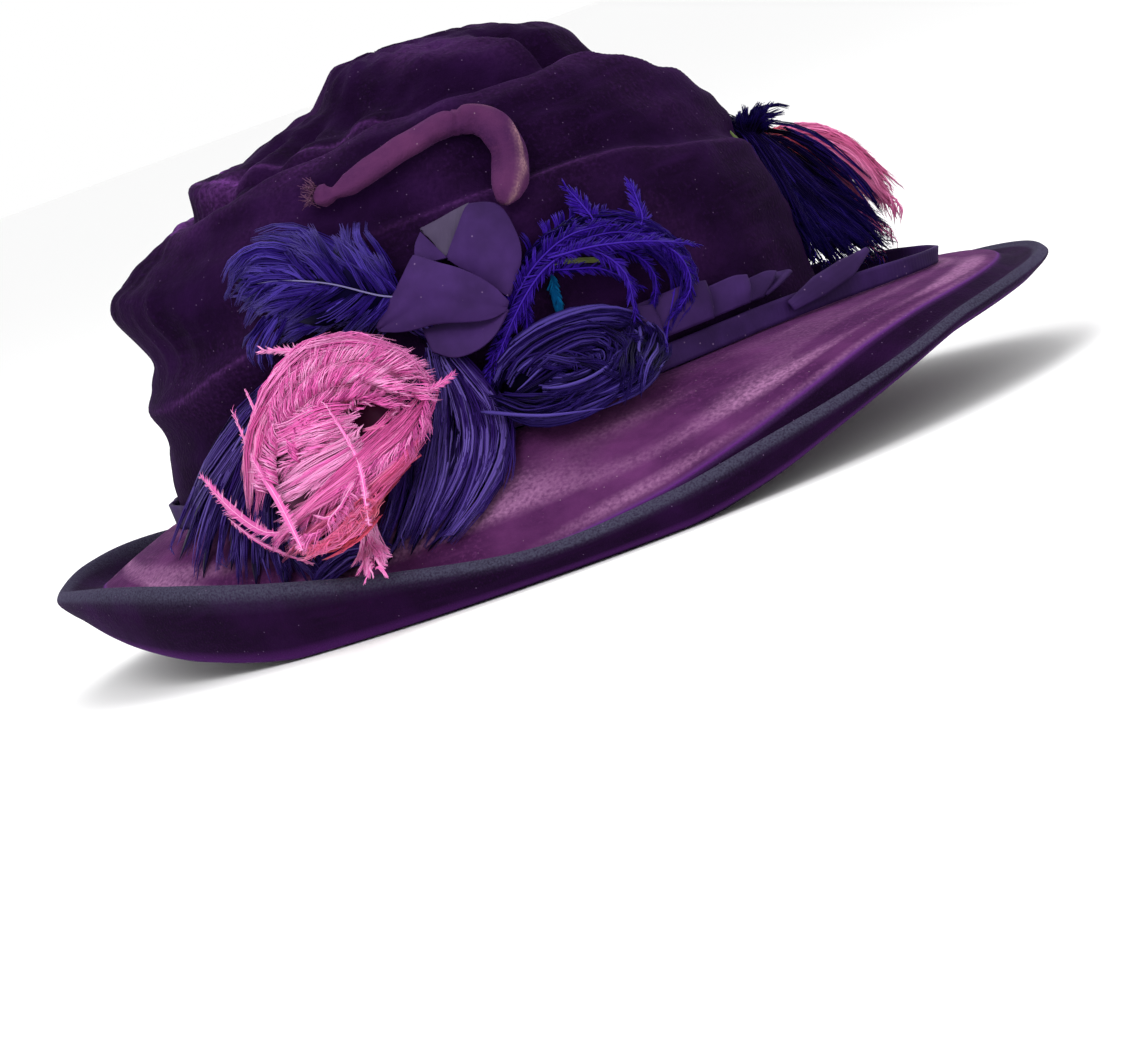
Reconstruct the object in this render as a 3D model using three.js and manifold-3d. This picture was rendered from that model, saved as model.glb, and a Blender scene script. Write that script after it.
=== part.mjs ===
// A woman's draped velvet cloche with a rolled brim, trimmed with ribbon and ostrich plumes.
// Units are millimetres. +Z is up, +X is the wearer's front and -Y the wearer's right, with the trimming.
// The origin is on the table, under the middle of the brim. The hat rests on the two low sides of its brim.
import * as THREE from "three";
import Module from "manifold-3d";
import { mergeVertices } from "three/addons/utils/BufferGeometryUtils.js";

const wasm = await Module();
wasm.setup();
const { Manifold, Mesh: SolidMesh } = wasm;

// Driving sizes.
const GAP = 0.35; // clearance between one piece and the next
const BRIM_HALF_LENGTH = 160;
const BRIM_HALF_WIDTH = 145;
const HEAD_HALF_LENGTH = 97;
const HEAD_HALF_WIDTH = 81;
const CROWN_SHIFT = -12; // the crown stands behind the brim's middle
const CROWN_HALF_LENGTH = 103;
const CROWN_HALF_WIDTH = 87;
const CROWN_BASE = 38.6;
const CROWN_HEIGHT = 110;
const CROWN_FULLNESS = 2.35; // 2 is an ellipsoid, more is squarer
const CROWN_WALL = 3;
const LEDGE_WIDTH = 11;
const LEDGE_TOP = CROWN_BASE - GAP;
const BRIM_THICKNESS = 3;
const ROLL_RADIUS = 4.2;
const RIBBON_THICKNESS = 1.2;
const SHORTEST_EDGE = 0.03; // shorter edges left by a cut are closed up

const vec = (x, y, z) => new THREE.Vector3(x, y, z);
const radians = THREE.MathUtils.degToRad;
const smoothstep = (x) => {
  const t = Math.min(1, Math.max(0, x));
  return t * t * (3 - 2 * t);
};
const bell = (x) => Math.exp(-x * x);

// A table has one row for each angle, in degrees from the front and negative on the wearer's right.
// Its columns are read between the rows by a smooth curve that closes on itself after a full turn.
function column(table, name, angle) {
  const last = table.length;
  const turned = ((((angle - table[0].angle) % 360) + 360) % 360) + table[0].angle;
  let i = last - 1;
  while (table[i].angle > turned) i--;
  const at = (k) => table[((k % last) + last) % last];
  const start = at(i).angle;
  const end = i + 1 < last ? at(i + 1).angle : at(0).angle + 360;
  const t = (turned - start) / (end - start);
  const [a, b, c, d] = [at(i - 1), at(i), at(i + 1), at(i + 2)].map((row) => row[name]);
  return b + 0.5 * t * (c - a + t * (2 * a - 5 * b + 4 * c - d + t * (3 * (b - c) + d - a)));
}
// A symmetric table is written for one side, from the front at 0 to the back at 180.
const mirrored = (rows) => [
  ...rows.slice(1).map((row) => ({ ...row, angle: -row.angle })).reverse(),
  ...rows.slice(0, -1),
];

// Heights over the table of the brim's crease, gutter, rolled rim and underside.
const BRIM_SECTIONS = mirrored([
  { angle: 0, crease: 33, gutter: 29, rim: 30.5, under: 24.5 },
  { angle: 25, crease: 33, gutter: 28, rim: 30, under: 23.5 },
  { angle: 40, crease: 32.5, gutter: 26.5, rim: 28, under: 21.5 },
  { angle: 50, crease: 30, gutter: 22, rim: 23.5, under: 16.5 },
  { angle: 60, crease: 25, gutter: 15, rim: 19.5, under: 10.5 },
  { angle: 70, crease: 19, gutter: 8.5, rim: 16, under: 4 },
  { angle: 80, crease: 13.5, gutter: 4, rim: 12, under: 0 },
  { angle: 95, crease: 9.5, gutter: 3.4, rim: 9.8, under: 0 },
  { angle: 110, crease: 9.5, gutter: 3.4, rim: 15.6, under: 0 },
  { angle: 125, crease: 10.5, gutter: 4, rim: 23, under: 0 },
  { angle: 140, crease: 16, gutter: 10, rim: 30, under: 6.5 },
  { angle: 152, crease: 22.5, gutter: 18, rim: 33.5, under: 14.5 },
  { angle: 164, crease: 28, gutter: 26, rim: 34, under: 22.5 },
  { angle: 180, crease: 30, gutter: 28, rim: 32.5, under: 25 },
]);
const CREASE_INSET = 16;
const GUTTER_INSET = 9.5;

// Heights over the crown's base and lifts of the velvet's wrapped folds, from the lowest to the highest:
// a band, a puff that hangs over it at the back, a side panel, an upper panel and a narrow pleat over that.
const FOLD_COLUMNS = (
  "angle band bandLift puff puffLift side sideLift upper upperLift pleat pleatLift"
).split(" ");
const CROWN_FOLDS = [
  [-180, 36, 3.5, 62, 13, 56, 0, 81, 3.5, 93, 5.5],
  [-155, 35, 4, 61.5, 11, 57, 0, 81.5, 4, 94, 4],
  [-140, 39, 4.5, 62, 6.5, 59, 0, 84.5, 4.5, 95, 3],
  [-125, 45, 4.5, 64, 3, 61, 0.5, 87.5, 4.5, 96, 3],
  [-110, 49, 3, 67, 1, 63, 1, 90, 4.5, 98, 3],
  [-93, 47, 1, 67, 0, 64, 2, 93.5, 4.5, 98.5, 2],
  [-75, 42, 0, 66, 0, 63, 3.5, 92, 4.5, 98, 0],
  [-55, 38, 0, 66, 0, 61.5, 4, 90, 5, 98, 0],
  [-33, 36, 0, 66, 0, 55, 4, 90, 5, 99, 0],
  [-15, 35, 0, 66, 0, 50, 3, 78, 4.5, 98, 0],
  [5, 34, 0, 65, 0, 46, 1, 69, 4, 97, 0],
  [45, 34, 1, 64, 0, 47, 3, 80, 4.5, 97, 1],
  [90, 36, 2.5, 64, 0, 57, 3, 88, 4.5, 98, 2],
  [135, 40, 4, 65, 5, 58, 0.5, 86, 4.5, 96, 3],
].map((row) => Object.fromEntries(row.map((value, i) => [FOLD_COLUMNS[i], value])));
// How far each fold reaches below and above its crest, and the groove that it casts beyond its sharp side.
const FOLD_SHAPES = [
  { fold: "band", below: 5, above: 9, groove: 1.6 },
  { fold: "puff", below: 8.5, above: 15, groove: 1.5 },
  { fold: "side", below: 26, above: 4, groove: 1.6 },
  { fold: "upper", below: 20, above: 4.5, groove: 2.2 },
  { fold: "pleat", below: 6, above: 9, groove: 1 },
];
// The top of the drape sinks a little, and a large puff stands in the sunken part, forward of the middle.
const CROWN_SINK = 4;
const TOP_PUFF = { x: 8, y: -2, radius: 39, edge: 14, lift: 8.7 };
// Valleys that run down from the top puff: the angle, the heights between which each runs, its depth and its
// half width.
const CROWN_GATHERS = [
  { angle: -34, from: 92, to: 104, depth: 6, width: 3.5 },
  { angle: -88, from: 98, to: 106, depth: 3, width: 5 },
  { angle: -112, from: 95, to: 105, depth: 4.5, width: 6 },
  { angle: -131, from: 89, to: 104, depth: 4, width: 4.5 },
  { angle: -150, from: 83, to: 102, depth: 4, width: 5 },
  { angle: 165, from: 84, to: 103, depth: 3.5, width: 5 },
  { angle: 125, from: 88, to: 104, depth: 4, width: 5 },
  { angle: 85, from: 92, to: 105, depth: 4, width: 5 },
  { angle: 35, from: 84, to: 104, depth: 4, width: 5 },
];
const MERIDIAN = 165; // length of the crown's surface from its base to its top
const QUARTER = Math.PI / 2; // a right angle, the climb at the top

const climbAt = (height) => Math.asin(Math.min(1, height / CROWN_HEIGHT) ** (CROWN_FULLNESS / 2));
const alongAt = (climb) => (MERIDIAN * climb) / QUARTER;

// The plain dome under the drape, by angle and climb, where climb runs from 0 at the base to a right angle.
function dome(angle, climb) {
  const a = radians(angle);
  const spread = Math.max(0, Math.cos(climb)) ** (2 / CROWN_FULLNESS);
  const rise = Math.max(0, Math.sin(climb)) ** (2 / CROWN_FULLNESS);
  return vec(
    CROWN_SHIFT + CROWN_HALF_LENGTH * spread * Math.cos(a),
    CROWN_HALF_WIDTH * spread * Math.sin(a),
    CROWN_BASE + CROWN_HEIGHT * rise,
  );
}
const outward = (angle, climb) =>
  vec(
    Math.cos(climb) * Math.cos(radians(angle)),
    Math.cos(climb) * Math.sin(radians(angle)),
    Math.sin(climb),
  );

// How far the drape stands off the dome: folds, top puff and gathers, fading to nothing at the base.
function drape(angle, climb) {
  const along = alongAt(climb);
  const place = dome(angle, climb);
  let lift = -CROWN_SINK * smoothstep((along - 90) / 25);
  for (const { fold, below, above, groove } of FOLD_SHAPES) {
    const from = along - alongAt(climbAt(column(CROWN_FOLDS, fold, angle)));
    const height = column(CROWN_FOLDS, fold + "Lift", angle);
    const sharp = Math.min(below, above);
    const side = above < below ? 1 : -1;
    lift += height * bell(from / (from < 0 ? below : above));
    lift -= groove * Math.min(1, height / 3) * bell((side * from - 2 * sharp) / sharp);
  }
  const { x, y, radius, edge, lift: rise } = TOP_PUFF;
  lift += rise * smoothstep((radius - Math.hypot(place.x - x, place.y - y)) / edge + 0.5);
  const reach = Math.hypot(place.x - CROWN_SHIFT, place.y);
  for (const { angle: run, from, to, depth, width } of CROWN_GATHERS) {
    if (Math.cos(radians(angle - run)) < 0) continue;
    const aside = reach * Math.sin(radians(angle - run));
    const start = alongAt(climbAt(from));
    const end = alongAt(climbAt(to));
    const window = smoothstep((along - start) / 6) * smoothstep((end - along) / 10 + 1);
    lift -= depth * window * bell(aside / width);
  }
  return lift * smoothstep(along / 16);
}
// A point on the velvet, moved off it by lift.
function crownPoint(angle, climb, lift = 0) {
  return dome(angle, climb).addScaledVector(outward(angle, climb), drape(angle, climb) + lift);
}

const AROUND = 60;
// The crown's rows, closer together where the folds are, and fewer on the plainer inside.
const CROWN_CLIMBS = [0, 7, 14, 19, 24, 28, 32, 36, 40, 44, 48, 52, 56, 61, 67, 73, 81].map(radians);
const INSIDE_CLIMBS = [0, 14, 24, 32, 40, 48, 56, 67, 81].map(radians);

// Turns rows of points, each running once round, into a closed solid. The last row closes on the first,
// or where poles are given, the first and the last row each close on a pole.
function ringSolid(rows, poles) {
  const count = rows[0].length;
  const points = rows.flat();
  const faces = [];
  for (let r = 0; r < (poles ? rows.length - 1 : rows.length); r++) {
    const next = (r + 1) % rows.length;
    for (let i = 0; i < count; i++) {
      const j = (i + 1) % count;
      const [a, b, c, d] = [r * count + i, r * count + j, next * count + j, next * count + i];
      faces.push([a, b, c], [a, c, d]);
    }
  }
  if (poles) {
    const base = (rows.length - 1) * count;
    points.push(...poles);
    for (let i = 0; i < count; i++) {
      const j = (i + 1) % count;
      faces.push([points.length - 2, j, i], [points.length - 1, base + i, base + j]);
    }
  }
  return facesSolid(points, faces);
}
function facesSolid(points, faces) {
  const make = (list) =>
    new Manifold(
      new SolidMesh({
        numProp: 3,
        vertProperties: new Float32Array(points.flatMap((p) => [p.x, p.y, p.z])),
        triVerts: new Uint32Array(list.flat()),
        tolerance: SHORTEST_EDGE,
      }),
    );
  const solid = make(faces);
  return solid.volume() > 0 ? solid : make(faces.map(([a, b, c]) => [a, c, b]));
}
function geometrySolid(geometry) {
  const bare = geometry.clone();
  for (const name of ["normal", "uv"]) bare.deleteAttribute(name);
  const merged = mergeVertices(bare, 1e-4);
  const place = merged.getAttribute("position");
  const points = Array.from({ length: place.count }, (_, i) => vec().fromBufferAttribute(place, i));
  const index = Array.from(merged.index.array);
  const faces = Array.from({ length: index.length / 3 }, (_, i) => index.slice(3 * i, 3 * i + 3));
  return facesSolid(points, faces);
}

// The crown is a shell: its outer skin, and the same skin set in by the wall.
const crownTurn = (climb, lift) =>
  Array.from({ length: AROUND }, (_, i) => crownPoint((360 * i) / AROUND, climb, lift));
function crownShell() {
  const outer = CROWN_CLIMBS.map((climb) => crownTurn(climb, 0));
  const inner = INSIDE_CLIMBS.map((climb) => crownTurn(climb, -CROWN_WALL)).reverse();
  return ringSolid([...inner, ...outer], [crownPoint(0, QUARTER, -CROWN_WALL), crownPoint(0, QUARTER)]);
}
// The space that the crown fills, hollow and all, grown by the gap, which nothing else may enter.
function crownKeepOut() {
  const rows = CROWN_CLIMBS.map((climb) => crownTurn(climb, GAP));
  const foot = rows[0].map((p) => p.clone().setZ(CROWN_BASE - 2));
  return ringSolid([foot, ...rows], [vec(CROWN_SHIFT, 0, CROWN_BASE - 2), crownPoint(0, QUARTER, GAP)]);
}

const rimAt = (angle) =>
  vec(BRIM_HALF_LENGTH * Math.cos(radians(angle)), BRIM_HALF_WIDTH * Math.sin(radians(angle)), 0);
const headAt = (angle) =>
  vec(
    CROWN_SHIFT + HEAD_HALF_LENGTH * Math.cos(radians(angle)),
    HEAD_HALF_WIDTH * Math.sin(radians(angle)),
    0,
  );
const reachAt = (angle) => rimAt(angle).distanceTo(headAt(angle));
function brimPlace(angle, inset, height) {
  const rim = rimAt(angle);
  const place = rim.clone().addScaledVector(headAt(angle).sub(rim).normalize(), inset);
  return place.setZ(height);
}
// The top of the brim from the crown to the crease, as a height by angle and distance in from the rim.
function brimTop(angle, inset) {
  const crease = column(BRIM_SECTIONS, "crease", angle);
  const start = reachAt(angle) - LEDGE_WIDTH;
  const t = Math.min(1, Math.max(0, (start - inset) / (start - CREASE_INSET - 1)));
  return LEDGE_TOP + (crease - LEDGE_TOP) * (0.75 * t + 0.25 * t * t);
}

// One section of the brim, as distance in from the rim and height: along the top, round the rolled rim and
// back under.
function brimSection(angle, grow) {
  const [crease, gutter, rim, under] = ["crease", "gutter", "rim", "under"].map((name) =>
    column(BRIM_SECTIONS, name, angle),
  );
  const floor = Math.max(0, under);
  const reach = reachAt(angle);
  const ledge = reach - LEDGE_WIDTH;
  const slope = (t) => ledge + (CREASE_INSET + 1 - ledge) * t;
  const top = (inset) => brimTop(angle, inset) + grow;
  const below = (inset) => brimTop(angle, inset) - BRIM_THICKNESS;
  return [
    [reach, LEDGE_TOP + grow],
    [ledge, LEDGE_TOP + grow],
    [slope(0.35), top(slope(0.35))],
    [slope(0.7), top(slope(0.7))],
    [CREASE_INSET + 1, crease + grow],
    [CREASE_INSET - 2.5, crease - 0.35 * (crease - gutter) - 0.6 + grow],
    [GUTTER_INSET, gutter + grow],
    [6, gutter + 0.35 * (rim - gutter) + grow],
    [3.5 + grow, rim - 0.8],
    [1.8, rim + grow],
    [-grow, rim - 2],
    [0.3 - grow, 0.5 * (rim + floor)],
    [3, floor + 1.6],
    [6.5, floor],
    [11.5, floor],
    [CREASE_INSET + 2, Math.max(floor, crease - BRIM_THICKNESS - 1)],
    [slope(0.7), below(slope(0.7))],
    [slope(0.35), below(slope(0.35))],
    [ledge, LEDGE_TOP - BRIM_THICKNESS],
    [reach, LEDGE_TOP - BRIM_THICKNESS],
  ];
}
const BRIM_AROUND = 60;
function brimSolid(grow = 0) {
  const turns = Array.from({ length: BRIM_AROUND }, (_, i) => (360 * i) / BRIM_AROUND);
  return ringSolid(
    turns.map((angle) => brimSection(angle, grow).map(([inset, height]) => brimPlace(angle, inset, height))),
  );
}

// How far a point is off the velvet of the crown, and of the brim.
function offCrown(point) {
  const x = (point.x - CROWN_SHIFT) / CROWN_HALF_LENGTH;
  const y = point.y / CROWN_HALF_WIDTH;
  const z = (point.z - CROWN_BASE) / CROWN_HEIGHT;
  if (z <= 0) return Infinity;
  const flat = Math.hypot(x, y) ** CROWN_FULLNESS;
  const tall = z ** CROWN_FULLNESS;
  const share = (flat + tall) ** (1 / CROWN_FULLNESS);
  const climb = Math.atan2(Math.sqrt(tall), Math.sqrt(flat));
  const angle = THREE.MathUtils.radToDeg(Math.atan2(y, x));
  const facing = outward(angle, climb).dot(vec(point.x - CROWN_SHIFT, point.y, point.z - CROWN_BASE));
  return (1 - 1 / share) * facing - drape(angle, climb);
}
function offBrim(point) {
  let share = 0.5;
  let angle = 0;
  for (let round = 0; round < 8; round++) {
    const long = THREE.MathUtils.lerp(BRIM_HALF_LENGTH, HEAD_HALF_LENGTH, share);
    const wide = THREE.MathUtils.lerp(BRIM_HALF_WIDTH, HEAD_HALF_WIDTH, share);
    const x = (point.x - CROWN_SHIFT * share) / long;
    const y = point.y / wide;
    angle = THREE.MathUtils.radToDeg(Math.atan2(y, x));
    share -= (Math.hypot(x, y) - 1) / 0.6;
  }
  return 0.8 * (point.z - brimTop(angle, share * reachAt(angle)));
}
// The point on the wearer's right, seen at x along the hat and z over the table, that is off the velvet by
// lift.
function beside([x, z, lift]) {
  const point = vec(x, -BRIM_HALF_WIDTH, z);
  const outside = () => Math.min(offCrown(point), offBrim(point)) > lift;
  for (let step = 2; step > 0.01; step /= 4) {
    while (point.y < 0 && outside()) point.y += step;
    point.y -= step;
  }
  return point;
}
const besides = (spots) => spots.map(beside);
// The way that the velvet faces there.
function facingBeside(place) {
  const spot = ([x, z]) => beside([x, z, 4]);
  const along = spot([place.x + 4, place.z]).sub(spot([place.x - 4, place.z]));
  const up = spot([place.x, place.z + 4]).sub(spot([place.x, place.z - 4]));
  return along.cross(up).normalize();
}

// A strand is a flattened, tapered tube along a smooth line. Its widths and thicknesses are read from short
// lists, and facing is the way that its flat side looks.
function strand({ line, widths, thick, facing, steps = 4, sides = 4 }, grow = 0) {
  const curve = new THREE.CatmullRomCurve3(line);
  const flatSide = facing ?? facingBeside(curve.getPointAt(0.5));
  const read = (list, t) => {
    const spot = t * (list.length - 1);
    const k = Math.min(list.length - 2, Math.floor(spot));
    return list[k] + (list[k + 1] - list[k]) * (spot - k);
  };
  const rows = Array.from({ length: steps + 1 }, (_, s) => {
    const t = s / steps;
    const tangent = curve.getTangentAt(t);
    const place = curve.getPointAt(t);
    if (s === 0) place.addScaledVector(tangent, -grow);
    if (s === steps) place.addScaledVector(tangent, grow);
    const flat = flatSide.clone().addScaledVector(tangent, -flatSide.dot(tangent)).normalize();
    const across = tangent.clone().cross(flat);
    const half = read(widths, t) / 2 + grow;
    const deep = read(thick, t) / 2 + grow;
    return Array.from({ length: sides }, (_, i) => {
      const a = (2 * Math.PI * i) / sides;
      const sideways = place.clone().addScaledVector(across, half * Math.cos(a));
      return sideways.addScaledVector(flat, deep * Math.sin(a));
    });
  });
  const middle = (row) => row.reduce((sum, p) => sum.add(p), vec(0, 0, 0)).divideScalar(row.length);
  return ringSolid(rows, [middle(rows[0]), middle(rows.at(-1))]);
}
const fuse = (solids) => Manifold.union(solids);

// A sheet of ribbon: place(u, v) gives its middle surface. Growth moves its outermost rows.
const outermost = (k, last) => (k === last ? 1 : k === 0 ? -1 : 0);
function ribbonSheet(place, across, along, thickness, grow = 0) {
  const marginU = grow / place(0, 0.5).distanceTo(place(1, 0.5));
  const marginV = grow / place(0.5, 0).distanceTo(place(0.5, 1));
  const half = thickness / 2 + grow;
  const step = 1e-3;
  const rows = Array.from({ length: along + 1 }, (_, k) => {
    const v = k / along + marginV * outermost(k, along);
    const top = [];
    const bottom = [];
    for (let i = 0; i <= across; i++) {
      const u = i / across + marginU * outermost(i, across);
      const p = place(u, v);
      const normal = place(u + step, v).sub(p).cross(place(u, v + step).sub(p)).normalize();
      top.push(p.clone().addScaledVector(normal, half));
      bottom.unshift(p.clone().addScaledVector(normal, -half));
    }
    return [...top, ...bottom];
  });
  const count = rows[0].length;
  const faces = [];
  for (let k = 0; k < along; k++)
    for (let i = 0; i < count; i++) {
      const j = (i + 1) % count;
      const [a, b, c, d] = [k * count + i, k * count + j, (k + 1) * count + j, (k + 1) * count + i];
      faces.push([a, b, c], [a, c, d]);
    }
  for (let i = 0; i < across; i++) {
    const [a, b, c, d] = [i, i + 1, count - 2 - i, count - 1 - i];
    const end = along * count;
    faces.push([a, c, b], [a, d, c], [end + a, end + b, end + c], [end + a, end + c, end + d]);
  }
  return facesSolid(rows.flat(), faces);
}
// A loop of ribbon over four corners, which swells off the crown in its middle.
function ribbonPatch({ corners, swell, thickness }, grow) {
  const [a, b, c, d] = corners;
  const mix = (p, q, t) => p.map((value, i) => value + (q[i] - value) * t);
  const place = (u, v) => {
    const [x, z, lift] = mix(mix(a, b, u), mix(d, c, u), v);
    return beside([x, z, lift + swell * Math.sin(Math.PI * u) * Math.sin(Math.PI * v)]);
  };
  const smooth = (u, v) => {
    const [s, t] = [THREE.MathUtils.clamp(u, 0, 1), THREE.MathUtils.clamp(v, 0, 1)];
    const p = place(s, t);
    const across = place(1, t).sub(place(0, t));
    const along = place(s, 1).sub(place(s, 0));
    return p.addScaledVector(across, u - s).addScaledVector(along, v - t);
  };
  return ribbonSheet(smooth, 4, 4, thickness, grow);
}

// The ribbon band goes round the crown's foot, and at the front swings out on the brim round the front plume.
const BAND_HEIGHT = 7;
const BAND_FRONT_HEIGHT = 4.5;
const BAND_SWING = 34;
const turned = (angle) => ((angle + 540) % 360) - 180;
function ribbonBand(grow) {
  const turns = Array.from({ length: 48 }, (_, i) => 7.5 * i);
  const sections = turns.map((angle) => {
    const snug = reachAt(angle) - (CROWN_HALF_LENGTH - HEAD_HALF_LENGTH) - 2.4;
    const inset = snug - BAND_SWING * bell(turned(angle) / 27);
    const foot = brimTop(angle, inset) + GAP + 0.1;
    const half = RIBBON_THICKNESS / 2 + grow;
    const lean = 1.2 * bell(turned(angle) / 30);
    const edge = foot + grow + THREE.MathUtils.lerp(BAND_HEIGHT, BAND_FRONT_HEIGHT, bell(turned(angle) / 25));
    return [
      [inset + half, foot - grow],
      [inset - half, foot - grow],
      [inset - half - lean, edge],
      [inset + half - lean, edge],
    ].map(([distance, height]) => brimPlace(angle, distance, height));
  });
  return ringSolid(sections);
}

// The pleated ribbon ruffle along the crown's foot on the right of the front.
const RUFFLE = { from: -76, to: -31, pleats: 4, depth: 4.2 };
function ribbonRuffle(grow) {
  const place = (u, v) => {
    const angle = RUFFLE.from + (RUFFLE.to - RUFFLE.from) * u;
    const crest = 22 - 9 * u + 2 * Math.sin(4 * Math.PI * u);
    const fold = 0.5 - 0.5 * Math.cos(2 * Math.PI * RUFFLE.pleats * u);
    const lean = RUFFLE.depth * fold * (0.45 + 0.55 * v);
    const slant = 2.5 * v * Math.sin(2 * Math.PI * RUFFLE.pleats * u);
    return crownPoint(angle + slant, climbAt(9 + (crest - 9) * v), 3.6 + lean);
  };
  return ribbonSheet(place, 24, 2, RIBBON_THICKNESS, grow);
}
const ribbonTail = (grow) =>
  strand(
    {
      line: [vec(77.5, -58.6, 43), vec(88, -51.3, 45.5), vec(98, -43, 47.5), vec(106, -34, 50)],
      widths: [3, 6.5, 6, 1],
      thick: [1.4, 1.4, 1.4, 1],
      facing: vec(0.35, -0.85, 0.35),
      sides: 6,
    },
    grow,
  );

// The velvet roll: a padded tube bent into a hook on the side of the crown. Here and below, a spot on the
// right side is written as its x, its height over the table and its distance off the velvet.
const ROLL_OFF = ROLL_RADIUS + 0.8;
const ROLL_LINE = [
  [-37, 119, ROLL_OFF],
  [-28, 120, ROLL_OFF],
  [-15, 123.5, ROLL_OFF],
  [-1, 126.5, ROLL_OFF],
  [8, 126, ROLL_OFF],
  [14.5, 121, ROLL_OFF],
  [16, 113, ROLL_OFF],
  [13, 105, ROLL_OFF],
  [7.5, 98, ROLL_OFF],
];
function velvetRoll(grow) {
  const round = new THREE.Shape().absarc(0, 0, ROLL_RADIUS + grow, 0, 2 * Math.PI);
  const bar = new THREE.ExtrudeGeometry(round, {
    steps: 20,
    curveSegments: 4,
    bevelEnabled: false,
    extrudePath: new THREE.CatmullRomCurve3(besides(ROLL_LINE)),
  });
  return geometrySolid(bar);
}

// The bow: an upper loop that hangs from the roll, a lower loop across it with its lip rolled under,
// and behind them the wrong side of the ribbon.
const bowUpper = (grow) =>
  ribbonPatch(
    { corners: [[5, 101, 6.5], [9.5, 88, 6.5], [-1, 74, 7], [-12, 92, 6]], swell: 2.5, thickness: 1.8 },
    grow,
  );
const bowLower = (grow) =>
  fuse([
    ribbonPatch(
      { corners: [[-21, 98, 7.5], [-2, 76, 11.5], [-15, 71, 13], [-36, 81, 8.5]], swell: 3, thickness: 2 },
      grow,
    ),
    ribbonPatch(
      { corners: [[-2.5, 76, 11], [-27, 77, 6], [-25, 67.5, 7], [-9, 66, 10]], swell: 3, thickness: 2 },
      grow,
    ),
  ]);
const bowBack = (grow) =>
  ribbonPatch(
    { corners: [[-20, 103, 1.2], [0, 105, 1.6], [-8, 95, 4.4], [-13, 94, 4]], swell: 0.3, thickness: 1.4 },
    grow,
  );

// The violet plume lies on the crown behind the bow: a broad vane on its quill, with the ends of its locks
// standing out along both edges and round the tip.
const PLUME_QUILL = [[-27, 88, 4.5], [-41, 94, 5], [-57, 100, 5], [-70, 105, 4]];
const PLUME_TIPS = [
  { from: [-38, 97, 5], to: [-32, 107, 4] },
  { from: [-46, 101, 5], to: [-44, 115, 3.5] },
  { from: [-53, 104, 5], to: [-57, 118, 3] },
  { from: [-60, 106, 5], to: [-70, 117, 3] },
  { from: [-62, 103, 5], to: [-79, 109, 3] },
  { from: [-62, 99, 5], to: [-80, 98, 3] },
  { from: [-60, 93, 5], to: [-72, 86, 3] },
  { from: [-54, 90, 5], to: [-60, 78, 3] },
  { from: [-46, 87, 5], to: [-49, 75, 3.5] },
  { from: [-38, 86, 5], to: [-37, 77, 4] },
];
const lock = ({ from, to, width, thick, bow = 1 }, grow) => {
  const half = from.map((value, i) => (value + to[i]) / 2);
  half[2] += bow;
  return strand(
    {
      line: besides([from, half, to]),
      widths: [width * 0.9, width, width * 0.65, 1.6],
      thick: [thick, thick, thick * 0.6, 1.6],
      steps: 3,
    },
    grow,
  );
};
const violetPlume = (grow) =>
  fuse([
    strand(
      {
        line: besides(PLUME_QUILL),
        widths: [9, 24, 31, 32, 22],
        thick: [4, 8, 8, 7, 4],
        steps: 5,
        sides: 8,
      },
      grow,
    ),
    ...PLUME_TIPS.map((tip) => lock({ ...tip, width: 11, thick: 4.5 }, grow)),
  ]);

// The curled plume beside the bow: an arch on the crown, with short locks standing off its outer edge.
const ARCH_LINE = [
  [-2, 64, 4.5],
  [2, 75, 5],
  [13, 84, 5],
  [27, 88.5, 5],
  [38, 84, 5],
  [45, 74, 5],
  [46, 63, 5],
  [39, 54.5, 6.5],
];
const ARCH_TIPS = [
  { from: [21, 87, 5], to: [17, 97, 4] },
  { from: [31, 87, 5], to: [35, 96, 4] },
  { from: [42, 79, 5], to: [53, 84, 4] },
  { from: [45, 70, 5], to: [54, 68, 4] },
  { from: [6, 79, 5], to: [1, 86, 4] },
  { from: [24, 87, 4], to: [25, 66, 6] },
  { from: [34, 85, 4], to: [37, 67, 6] },
];
const archPlume = (grow) =>
  fuse([
    strand(
      {
        line: besides(ARCH_LINE),
        widths: [4, 9, 11, 12, 12, 10, 8, 3],
        thick: [4, 7, 8, 8, 8, 7, 5, 3],
        facing: vec(0.15, -1, 0.2),
        steps: 12,
        sides: 6,
      },
      grow,
    ),
    ...ARCH_TIPS.map((tip) => lock({ ...tip, width: 6, thick: 4 }, grow)),
  ]);
const archQuill = (grow) =>
  strand(
    {
      line: besides([[5, 80, 1.6], [13, 80, 1.7], [21, 78, 1.7], [30, 75, 1.6]]),
      widths: [1.6, 1.6],
      thick: [1.6, 1.6],
      sides: 6,
    },
    grow,
  );
const tealTip = (grow) =>
  strand(
    {
      line: besides([[12.5, 78, 0.8], [11.5, 72, 1.2], [11, 65, 0.8]]),
      widths: [1.2, 3.8, 3, 1.2],
      thick: [1, 1.4, 1.4, 1],
      sides: 6,
    },
    grow,
  );

// A whorl lies on the hat's right side round an eye. Its arcs wind about the eye: radii along and up, the
// starting direction and sweep in degrees, and how far they stand off the velvet at their start and end.
function whorlArc({ eye, radii, start, sweep, off, width, thick }, grow) {
  const line = [0, 0.33, 0.67, 1].map((t) => {
    const a = radians(start + sweep * t);
    const shrink = 1 - 0.1 * t;
    return beside([
      eye[0] + radii[0] * shrink * Math.cos(a),
      eye[1] + radii[1] * shrink * Math.sin(a),
      off[0] + (off[1] - off[0]) * t,
    ]);
  });
  return strand(
    {
      line,
      widths: [width * 0.5, width, width, width * 0.35],
      thick: [thick, thick, thick, thick * 0.5],
      facing: vec(0, -1, 0.3),
      steps: 5,
    },
    grow,
  );
}
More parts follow.
